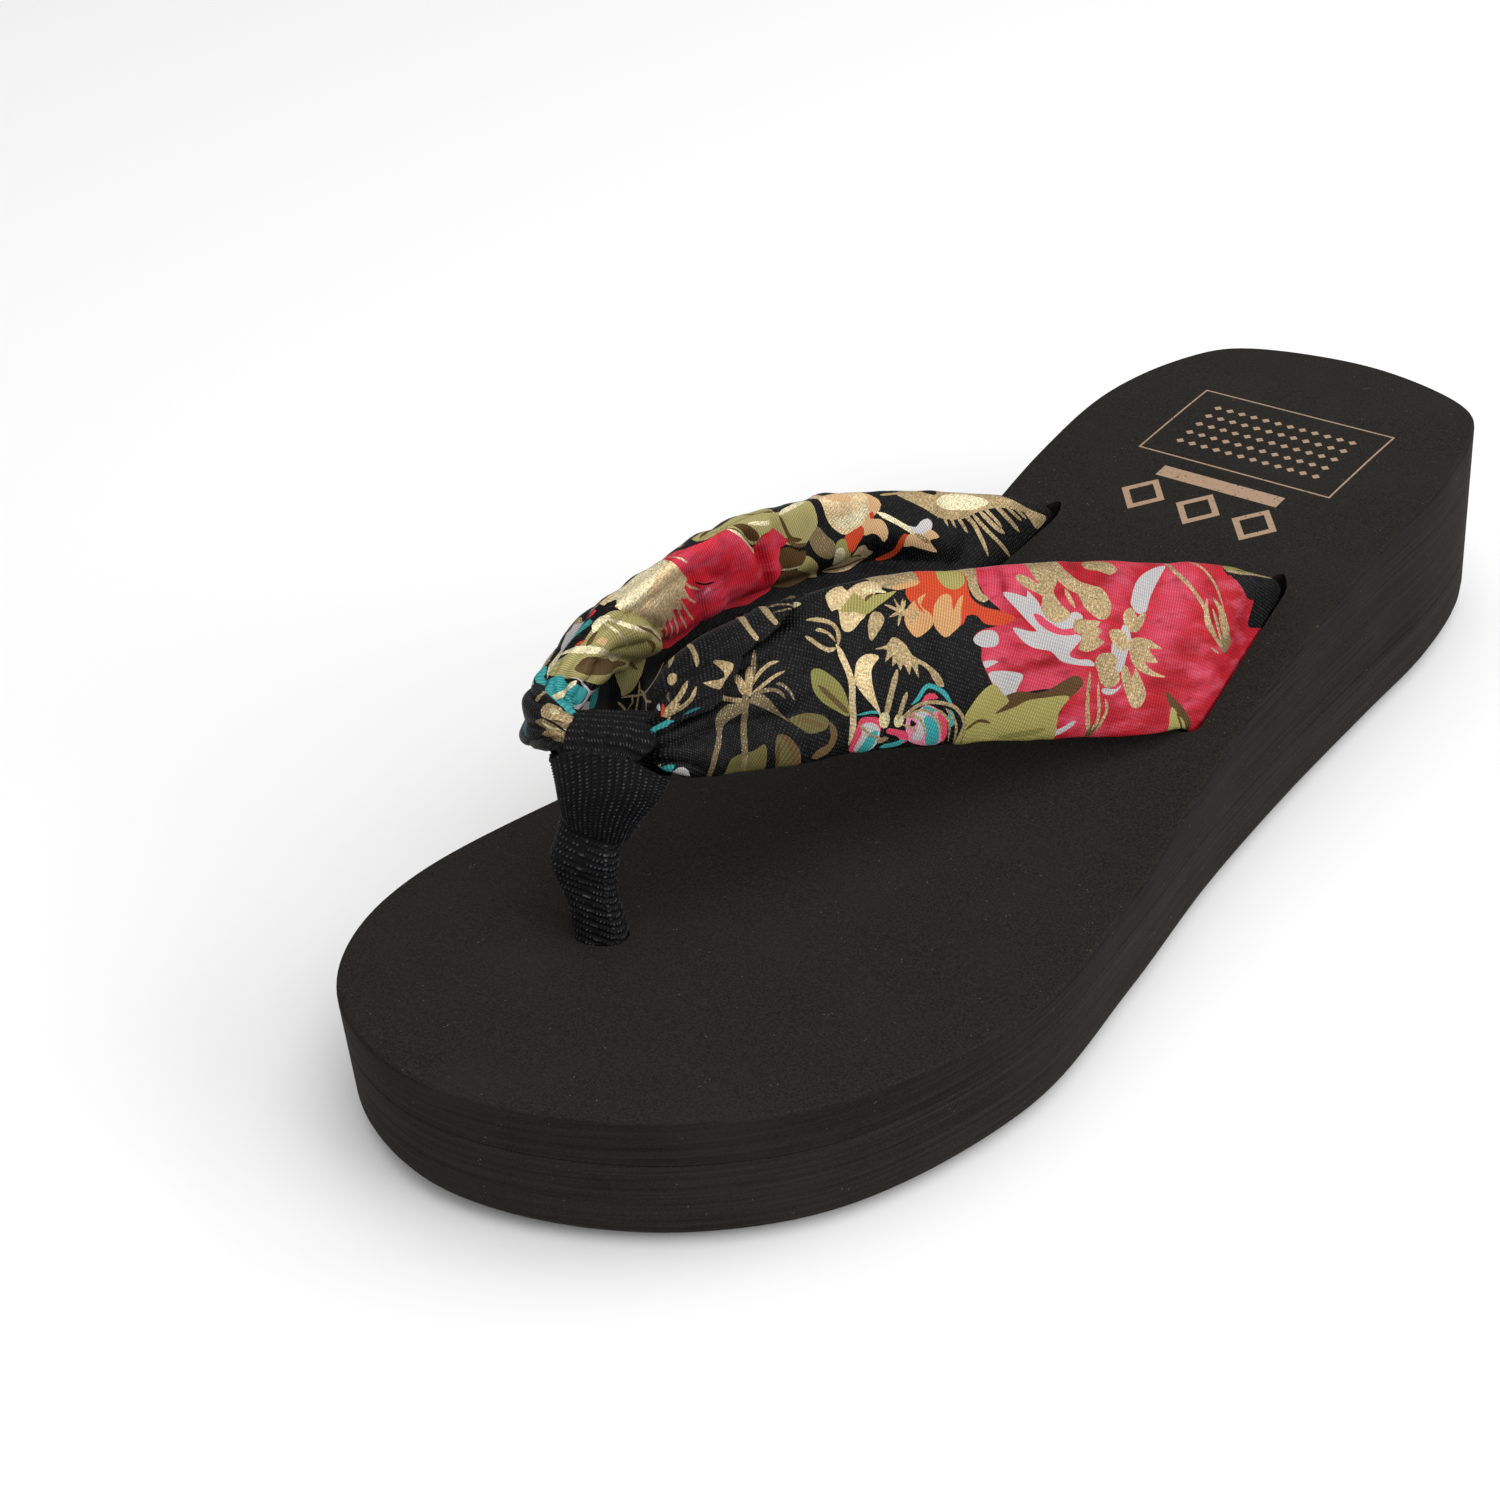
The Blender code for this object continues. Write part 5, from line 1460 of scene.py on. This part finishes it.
# Soft creases, as lines on the charts: depth, width, height of the ridge to the left of the
# line, and the places it runs through, all in mm
OUTER_CREASES = (
    (0.7, 1.6, 0.4, ((87, 30), (90, 24), (94, 19), (100, 17))),
    (0.7, 1.8, 0.3, ((70, 20), (78, 16), (86, 13.5), (95, 12))),
    (0.6, 1.8, 0.3, ((60, 36), (66, 31), (74, 25), (82, 22))),
    (0.4, 3.0, 0.3, ((-10, 34), (2, 26), (14, 10))),
    (0.35, 2.6, 0.25, ((8, 38), (14, 28), (24, 12))),
    (0.3, 3.0, 0.2, ((30, 38), (34, 26), (36, 12))),
    (0.3, 3.0, 0.2, ((52, 38), (52, 24), (56, 12))),
)
INNER_CREASES = (
    (2.6, 2.0, 1.3, ((92, -98), (100, -97), (111, -98), (122, -97.8), (131, -98.8),
                     (143, -100.4), (157, -102), (166, -105), (176, -109))),
    (1.3, 1.0, 0.8, ((128.8, -97), (127.4, -92), (125, -87), (121, -82))),
    (0.9, 1.2, 0.5, ((134.5, -98), (132.6, -93), (131, -87), (130, -82))),
    (1.2, 0.9, 0.8, ((103.2, -96.8), (102, -93), (97.4, -88), (91, -85))),
    (0.9, 0.9, 0.5, ((98.6, -98), (95, -94.4), (88, -91.6), (80, -90))),
    (0.7, 1.1, 0.4, ((113.4, -96), (110.2, -89), (106, -83))),
    (0.5, 1.6, 0.3, ((121, -97), (117, -90), (110, -84))),
    (0.5, 2.2, 0.3, ((160, -104), (152, -97), (144, -88))),
    (0.4, 2.2, 0.3, ((184, -108), (174, -101), (162, -94))),
)
# How steeply a trough falls, and where the ridge beside it lies and how wide it is, in widths
# of the trough
TROUGH_POWER = 1.6
RIDGE_PLACE = 2.2
RIDGE_WIDTH = 2.0
# Gathers beside the loop. Columns: row where they are deepest, rows they spread over, ridges
# across the strap, their height in mm, and how far the ridges are shifted
GATHERS = (
    (10.4, 2.6, 4.5, 1.0, 0.3),
    (16.6, 2.8, 3.5, 1.1, 1.2),
)
GATHER_SPREAD_POWER = 2.4
# How far a gather's ridges wander, and how often, across the strap and along its rows
GATHER_SWAY = (0.18, 3, 0.6)
GATHER_SHARPNESS = 0.7
# Soft waves over the whole strap: waves along a metre, turns round the tube, height, start
WAVES = (
    (38.0, 1.0, 0.30, 0.4),
    (61.0, 2.0, 0.22, 2.1),
    (97.0, 3.0, 0.16, 4.4),
    (143.0, 2.0, 0.10, 1.3),
    (205.0, 5.0, 0.06, 5.2),
)
WAVES_AT_EDGE = 0.25
EDGE_HELD = 0.05
# The relief comes in over so many rows past a slit, and is pressed flat inside the loop. The
# loop's middle row, and how many rows it holds to each side
SLIT_FADE = 1.5
LOOP_ROW = 13.0
LOOP_ROWS = 1.05
LOOP_PRESS = 0.95
# How far the inner half's shown face is filled out, most of it near the upper edge, from which
# rows it starts and ends, over how many, and what brings its greatest height to one
INNER_FULLNESS = 2.2
FULL_START = 14.5
FULL_START_ROWS = 2.5
FULL_END = 25.0
FULL_END_ROWS = 3.0
FULL_PEAK = 6.75
# The fold where the outer face laps over itself: how far the cloth drops beside it, rises on it
# and reaches over it, each with how wide that is, all in mm, and the places it runs through on
# the chart
LAP_DROP = 1.5
LAP_DROP_WIDTH = 2.4
LAP_RISE = 1.5
LAP_RISE_WIDTH = 4.5
LAP_REACH = 1.5
LAP_REACH_WIDTH = 2.6
LAP_LEAST_REACH = 0.02
LAP_LINE = ((68, 38), (72, 34.5), (75, 31.5), (79, 28.5), (83, 26), (85, 23), (88, 19),
            (91, 16.5), (94, 14.5))


def tube_point(r, a, step=0.05):
    """The plain tube's surface at a row and a place round it, before it is creased."""
    a = np.where(a > 1, a - 2, np.where(a < -1, a + 2, a))
    row = strap_row(r, bunched_rows)
    ahead, behind = strap_row(r + step, bunched_rows), strap_row(r - step, bunched_rows)
    middle = (row[:, 0:3] + row[:, 3:6]) / 2
    along = ahead[:, 0:3] + ahead[:, 3:6] - behind[:, 0:3] - behind[:, 3:6]
    across = row[:, 3:6] - row[:, 0:3]
    width = np.linalg.norm(across, axis=1)[:, None]
    across = across / width
    out = np.cross(across, along)
    out /= np.linalg.norm(out, axis=1)[:, None]
    u = np.interp(np.abs(a), section_arc, section_u)[:, None]
    v = (np.interp(np.abs(a), section_arc, section_v) * np.sign(a))[:, None]
    lift = row[:, 6:7] / 2 * v + row[:, 7:8] * (1 - u * u)
    return middle + across * width / 2 * u + out * lift


def beside(points, line):
    """Distances of points from a smooth line, more than 0 on its left, the direction away from
    it, and how much of the line's full effect they feel, less at its two ends."""
    line = curve_rows(line, 4)
    best = np.full(len(points), 1e9)
    signed = np.zeros(len(points))
    share = np.zeros(len(points))
    left = np.zeros((len(points), 2))
    for at in range(len(line) - 1):
        start, span = line[at], line[at + 1] - line[at]
        length = math.hypot(*span)
        t = np.clip(((points - start) @ span) / length ** 2, 0, 1)
        away = points - (start + t[:, None] * span)
        near = np.hypot(away[:, 0], away[:, 1])
        side = (span[0] * away[:, 1] - span[1] * away[:, 0]) / length
        closer = near < best
        best = np.where(closer, near, best)
        signed = np.where(closer, np.where(side >= 0, near, -near), signed)
        share = np.where(closer, (at + t) / (len(line) - 1), share)
        left[closer] = (-span[1] / length, span[0] / length)
    return signed, left, np.clip(5 * np.minimum(share, 1 - share), 0, 1)


def crease_height(points, creases):
    """How far a face is pushed out or in by its creases."""
    total = np.zeros(len(points))
    for depth, width, ridge, line in creases:
        signed, left, taper = beside(points, line)
        trough = -depth * np.exp(-(np.abs(signed) / width) ** TROUGH_POWER)
        bank = ridge * np.exp(-((signed - RIDGE_PLACE * width) / (RIDGE_WIDTH * width)) ** 2)
        total += (trough + bank) * taper
    return total


def lapped(r, a):
    """Places on the outer face slid over the fold, and how far each is lifted there."""
    face = (a > 0) & (r < LAST_ROW / 2)
    lift = np.zeros(len(r))
    r, a = r.copy(), a.copy()
    chart = to_chart(flat_place(r, a), 1)
    signed, left, taper = beside(chart, LAP_LINE)
    above = signed >= 0
    rise = LAP_RISE * np.exp(-(signed / LAP_RISE_WIDTH) ** 2)
    drop = -LAP_DROP * np.exp(-(np.abs(signed) / LAP_DROP_WIDTH) ** 1.4)
    lift[face] = (np.where(above, rise, drop) * taper)[face]
    slide = LAP_REACH * np.exp(-(signed / LAP_REACH_WIDTH) ** 2) * taper
    moving = np.nonzero(face & above & (slide > LAP_LEAST_REACH))[0]
    moved = chart[moving] - left[moving] * slide[moving][:, None]
    found = thread_at(from_chart(moved, 1), 1)
    r[moving] = found[:, 0]
    a[moving] = np.clip(found[:, 1], 0.0, 1.0)
    return r, a, lift


def strap_surface(r, a, step=0.01):
    """The finished surface of the strap: the tube, its gathers, creases and waves."""
    slid_r, slid_a, lift = lapped(r, a)
    point = tube_point(slid_r, slid_a)
    along = tube_point(np.clip(slid_r + step, 0, LAST_ROW), slid_a)
    along -= tube_point(np.clip(slid_r - step, 0, LAST_ROW), slid_a)
    around = tube_point(slid_r, slid_a + step) - tube_point(slid_r, slid_a - step)
    out = np.cross(around, along)
    out /= np.linalg.norm(out, axis=1)[:, None] + 1e-12
    row = strap_row(slid_r)
    facing = np.cross(row[:, 3:6] - row[:, 0:3],
                      strap_row(slid_r + step)[:, 0:3] - strap_row(slid_r - step)[:, 0:3])
    flip = np.sum(out * facing, axis=1) * np.sign(slid_a)
    out *= np.where(np.median(flip) < 0, -1.0, 1.0)
    size = np.abs(a)
    held = np.clip(size / EDGE_HELD, 0, 1) * np.clip((1 - size) / EDGE_HELD, 0, 1)
    held = held * held * (3 - 2 * held)
    other = LAST_ROW - r
    for side, creases, own in ((1, OUTER_CREASES, r < LAST_ROW / 2),
                               (-1, INNER_CREASES, r > LAST_ROW / 2)):
        face = np.sign(a) == side
        for chosen, rows in ((face & own, r), (face & ~own, other)):
            places = to_chart(flat_place(rows[chosen], a[chosen]), side)
            lift[chosen] += crease_height(places, creases) * held[chosen]
    sway, across_rate, row_rate = GATHER_SWAY
    for centre, spread, count, height, shift in GATHERS:
        near = np.exp(-np.abs((r - centre) / spread) ** GATHER_SPREAD_POWER)
        q = 1 - 2 * size
        swayed = q + sway * np.sin(across_rate * q + r * row_rate)
        wave = np.abs(np.sin(math.pi / 2 * count * swayed + shift))
        lift += height * near * (wave ** GATHER_SHARPNESS - GATHER_SHARPNESS) * held
    s = np.interp(r, flat_r, flat_s) * MM
    for count, around_turns, height, start in WAVES:
        wave = np.sin(2 * math.pi * count * s + math.pi * around_turns * a + start)
        lift += height * wave * (WAVES_AT_EDGE + (1 - WAVES_AT_EDGE) * held)
    in_loop = np.exp(-((r - LOOP_ROW) / LOOP_ROWS) ** 8)
    shown = (np.clip((r - HIDDEN_ROWS) / SLIT_FADE, 0, 1)
             * np.clip((LAST_ROW - HIDDEN_ROWS - r) / SLIT_FADE, 0, 1))
    lift *= shown * (1 - LOOP_PRESS * in_loop)
    full = (np.clip((r - FULL_START) / FULL_START_ROWS, 0, 1)
            * np.clip((FULL_END - r) / FULL_END_ROWS, 0, 1) * (a < 0))
    lift += INNER_FULLNESS * FULL_PEAK * full * size * (1 - size) ** 2
    return point + out * lift[:, None]


# Half the tube's girth, as the grid of threads counts it. How far the shown face's print runs
# over the upper edge, and where it stops near the seam, as shares of the way round. The inner
# print isn't repeated on the other half where it is nearer to the loop than this row
HALF_GIRTH = 32.0
PRINT_MEETS = 0.03
PRINT_ENDS = 0.995
REPEATED_FROM = 17.5

# Each print outline is carried on to its face of the tube, and again on to the same face of
# the strap's other half, where the photograph doesn't show the print
outlines = []
for side, print_rows, halves in ((1, OUTER_PRINT, (0, 1)), (-1, INNER_PRINT, (0, 1)),
                                 (1, BESIDE_LOOP, (1,))):
    # The inner face takes the lighter copies, which paint light on it
    inks_and_light = {**PRINT_COLOURS, **LIT_INNER_COLOURS} if side < 0 else PRINT_COLOURS
    for motif in print_rows:
        line = closed_curve(motif[1]) if len(motif) == 2 else brush_line(motif[2], motif[1])
        found = thread_at(from_chart(line, side), side)
        for half in halves:
            if half and side < 0 and found[:, 0].min() < REPEATED_FROM:
                continue
            rows, rim = ((found[:, 0], side), (LAST_ROW - found[:, 0], -side))[half]
            s = np.interp(rows, flat_r, flat_s)
            reach = sorted((-PRINT_MEETS * rim, PRINT_ENDS * side))
            around = np.clip(found[:, 1], *reach)
            outlines.append((motif[0], linear(inks_and_light[motif[0]]),
                             np.column_stack([s, around * HALF_GIRTH])))

# A fine grid of threads, coarse where it is hidden, with the outlines cut into it, so that the
# print has clean edges. A thread nearer than this to an outline's point is left out
GRID = 0.56
HIDDEN_GRID = 2.0
THREADS_AROUND = 2 * int(38.0 / GRID)
NEAR = 0.24
EDGE_ROOM = 0.992
full_s = flat_s[-1]
first_shown = np.interp(HIDDEN_ROWS, flat_r, flat_s)
last_shown = np.interp(LAST_ROW - HIDDEN_ROWS, flat_r, flat_s)
columns = np.concatenate([np.arange(0.0, first_shown, HIDDEN_GRID),
                          np.arange(first_shown, last_shown, GRID),
                          np.arange(last_shown, full_s, HIDDEN_GRID), [full_s]])
corners = []
links = []


def link_round(line):
    """Add a closed line's points to the corners, and the edges that join them."""
    first = len(corners)
    corners.extend(line)
    links.extend((first + at, first + (at + 1) % len(line)) for at in range(len(line)))


for name, ink_and_light, line in outlines:
    shown_s = np.clip(line[:, 0], first_shown, last_shown)
    link_round([(float(s), float(around)) for s, around in zip(shown_s, line[:, 1])])
taken = {}
for x, y in corners:
    taken.setdefault((int(x), int(y)), []).append((x, y))


def is_free(x, y):
    for cx in (-1, 0, 1):
        for cy in (-1, 0, 1):
            for ox, oy in taken.get((int(x) + cx, int(y) + cy), ()):
                if (x - ox) ** 2 + (y - oy) ** 2 < NEAR ** 2:
                    return False
    return True


link_round([(float(x), -HALF_GIRTH) for x in columns]
           + [(float(x), HALF_GIRTH) for x in reversed(columns)])
for number, x in enumerate(columns):
    shift = 0.5 * (number % 2)
    for at in range(1, THREADS_AROUND):
        y = HALF_GIRTH * (2 * (at + shift) / THREADS_AROUND - 1)
        if abs(y) < HALF_GIRTH * EDGE_ROOM and is_free(x, y):
            corners.append((float(x), y))
made = delaunay_2d_cdt([Vector(corner) for corner in corners], links, [], 0, 1e-6, False)
threads = np.array([tuple(vert) for vert in made[0]])
triangles = np.array([tuple(face) for face in made[2]])
first, second, third = (threads[triangles[:, at]] for at in range(3))
twice = np.abs((second[:, 0] - first[:, 0]) * (third[:, 1] - first[:, 1])
               - (third[:, 0] - first[:, 0]) * (second[:, 1] - first[:, 1]))
triangles = triangles[twice > 1e-7]
middle = threads[triangles].mean(axis=1)

# Each triangle takes the colour of the last outline that it lies in: its ink, with painted light
# where a lit or shaded copy stands in for it
face_colour = np.tile(np.array(linear(PRINT_COLOURS["black"])), (len(triangles), 1))
face_foil = np.zeros(len(triangles))
face_petal = np.zeros(len(triangles))
order = np.argsort(middle[:, 0])
sorted_x = middle[order, 0]
for name, ink_and_light, line in outlines:
    low, high = line.min(axis=0), line.max(axis=0)
    near = order[np.searchsorted(sorted_x, low[0]):np.searchsorted(sorted_x, high[0])]
    near = near[(middle[near, 1] > low[1]) & (middle[near, 1] < high[1])]
    x, y = middle[near, 0], middle[near, 1]
    hit = np.zeros(len(near), bool)
    for (x0, y0), (x1, y1) in zip(line, np.roll(line, -1, axis=0)):
        if y0 != y1:
            crossed = (y0 > y) != (y1 > y)
            hit ^= crossed & (x < (x1 - x0) * (y - y0) / (y1 - y0) + x0)
    face_colour[near[hit]] = ink_and_light
    face_foil[near[hit]] = FOILS.get(name, 0.0)
    face_petal[near[hit]] = float(name == "red")

strap_r = np.interp(threads[:, 0], flat_s, flat_r)
strap_a = threads[:, 1] / HALF_GIRTH
places = strap_surface(strap_r, strap_a)
strap_mesh = bpy.data.meshes.new("printed_strap")
strap_mesh.from_pydata((places * MM).tolist(), [], triangles.tolist())
strap_mesh.update()
loops = np.zeros(len(strap_mesh.loops), np.int32)
strap_mesh.loops.foreach_get("vertex_index", loops)
on_outer = strap_a[loops] >= 0

# The weave follows the flat cloth. Beside the loop the outer face is drawn together, and its
# threads lie closer there, round one place of the chart
CLOTH_UNIT = 100.0
CLOSER_FROM = 74.0
CLOSER_OVER = 12.0
CLOSER_BY = 0.5
CLOSER_ROUND = (85.0, 24.0)
laid = flat_place(strap_r, strap_a)
laid = np.where(on_outer[:, None], to_chart(laid, 1)[loops], laid[loops])
beyond = np.clip((laid[:, 0] - CLOSER_FROM) / CLOSER_OVER, 0.0, 1.0) * on_outer
laid = laid + (laid - CLOSER_ROUND) * CLOSER_BY * beyond[:, None]
cloth_uv = strap_mesh.uv_layers.new(name="cloth")
cloth_uv.data.foreach_set("uv", (laid / CLOTH_UNIT).astype(np.float32).ravel())

# The washes, on the petals alone, and on the inner face partly painted light. The fourth part of the
# colour marks the petals, whose red is streaked
WASH_COVER = 1.3
per_corner = np.repeat(face_colour, 3, axis=0)
petal = np.repeat(face_petal, 3)
other_half = LAST_ROW - strap_r
charts = {}
for side, printed in ((1, np.minimum(strap_r, other_half)), (-1, np.maximum(strap_r, other_half))):
    charts[side] = to_chart(flat_place(printed, strap_a), side)[loops]
for side, x, y, half_x, half_y, strength in PETAL_WASHES_AND_LIGHT:
    chart = charts[side]
    near = petal * (on_outer == (side > 0)) * min(1.0, WASH_COVER * abs(strength))
    near = near * np.exp(-((chart[:, 0] - x) / half_x) ** 2 - ((chart[:, 1] - y) / half_y) ** 2)
    washed = linear(PRINT_COLOURS["pink" if strength > 0 else "deep red"])
    per_corner += (np.array(washed) - per_corner) * near[:, None]
shades = strap_mesh.attributes.new("print", "FLOAT_COLOR", "CORNER")
shades.data.foreach_set("color", np.column_stack([per_corner, petal]).astype(np.float32).ravel())
foiled = strap_mesh.attributes.new("foil", "FLOAT", "CORNER")
foiled.data.foreach_set("value", np.repeat(face_foil, 3).astype(np.float32))

# The seam under the tube and the two hidden ends are closed. The distance is in metres
SEAM_MERGE = 2e-6
bm = bmesh.new()
bm.from_mesh(strap_mesh)
bmesh.ops.remove_doubles(bm, verts=bm.verts, dist=SEAM_MERGE)
open_edges = [edge for edge in bm.edges if edge.is_boundary]
bmesh.ops.holes_fill(bm, edges=open_edges, sides=0)
bmesh.ops.recalc_face_normals(bm, faces=bm.faces)
bm.to_mesh(strap_mesh)
bm.free()
strap_mesh.shade_smooth()

# The satin: a fine twill under the print, which foil covers in places, with painted glints on its
# threads and painted sparkle on the foil. Pitches in mm, the threads' lean as parts along and
# across, and noises as scale, detail, roughness
TWILL_PITCH = 0.43
WEFT_PITCH = 0.55
THREAD_LEAN = (0.95, 0.31)
THREAD_WOBBLE = 2.4
WOBBLE_NOISE = (600.0, 1.0, 0.5)
WASH_NOISE = (140.0, 3.0, 0.55)
PATCH_NOISE = (1.0, 3.0, 0.5)
THREAD_GLINT_NOISE = (1500.0, 2.0, 0.6)
FOIL_NOISE = (2600.0, 2.0, 0.6)
SPARKLE_NOISE = (3400.0, 1.0, 0.5)
WEAVE_DEPTH = 0.0001
THREAD_GLINT_COVER = (0.008, 0.036)
SPARKLE_COVER = 0.45
satin = Finish("printed satin", Roughness=0.5, Specular_IOR_Level=0.10)
shade = satin.start.add("Attribute", {"attribute_name": "print"}, out=0)
petal_mark = satin.start.add("Attribute", {"attribute_name": "print"}, out=3)
foil = satin.start.add("Attribute", {"attribute_name": "foil"}, out=2)
u_mm, v_mm = satin.in_mm(satin.start.add("UVMap", {"uv_map": "cloth"}), CLOTH_UNIT)
wobble = satin.place.noise(*WOBBLE_NOISE) * THREAD_WOBBLE


def thread_wave(along, across, pitch):
    """0 between the threads of one direction and 1 on them."""
    turn = 2 * math.pi / pitch
    wave = u_mm * (along * turn) + v_mm * (across * turn) + wobble
    return wave.maths("SINE") * 0.5 + 0.5


def patches(along, across, shift, low, high):
    """Soft patches of the cloth, so many in a millimetre each way, 1 inside them."""
    place = satin.start.add("CombineXYZ", None, {0: u_mm * along + shift, 1: v_mm * across})
    return place.noise(*PATCH_NOISE).apart(low, high)


twill = thread_wave(THREAD_LEAN[0], THREAD_LEAN[1], TWILL_PITCH)
weft = thread_wave(-THREAD_LEAN[1], THREAD_LEAN[0], WEFT_PITCH)
weave = twill.apart(0.15, 0.85) * (0.40 + 0.60 * weft)
wash = satin.place.noise(*WASH_NOISE)
tone = (petal_mark * patches(0.16, 0.42, 0.0, 0.45, 0.72) * 0.5).mix(shade, linear("ee6680"))
tone = (petal_mark * patches(0.2, 0.5, 40.0, 0.48, 0.74) * 0.6).mix(tone, linear("98101e"))
tone = (wash.apart(0.35, 0.7) * 0.2).mix(tone, (1.0, 1.0, 1.0), "SOFT_LIGHT")
tone = (0.50 + 0.40 * weave).mix((0.0, 0.0, 0.0), tone)
# Painted highlights: pale glints on the threads, strongest on the dark inks
dark = 1.0 - satin.start.add("RGBToBW", None, {0: shade}).apart(0.01, 0.10)
thread_glints = weave.apart(0.55, 0.95) * satin.place.noise(*THREAD_GLINT_NOISE).apart(0.35, 0.65)
tone = (thread_glints * (THREAD_GLINT_COVER[0] + THREAD_GLINT_COVER[1] * dark)).mix(tone, (0.90, 0.87, 0.90))
grain = satin.place.noise(*FOIL_NOISE).apart(0.30, 0.70)
cover = (foil * 1.5 + weave * 0.7 - 0.65).apart(0.05, 0.75)
tone = cover.mix(tone, (0.50 + 0.50 * grain).mix((0.0, 0.0, 0.0), shade))
# Painted highlights: pale sparkle on the foil
sparkle = satin.place.noise(*SPARKLE_NOISE).apart(0.56, 0.68) * (0.3 + 0.7 * weave)
tone = (sparkle * cover * SPARKLE_COVER).mix(tone, (1.0, 0.92, 0.74))
rough = 0.48 + wash * 0.08 - cover * 0.14
satin.feed(bump=(weave, WEAVE_DEPTH, 0.7), Base_Color=tone, Roughness=rough,
           Metallic=cover * 0.5)
strap_mesh.materials.append(satin.material)
strap = bpy.data.objects.new("printed_strap", strap_mesh)
scene.collection.objects.link(strap)
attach(strap, "root")
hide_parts("strap_upper")

low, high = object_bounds()
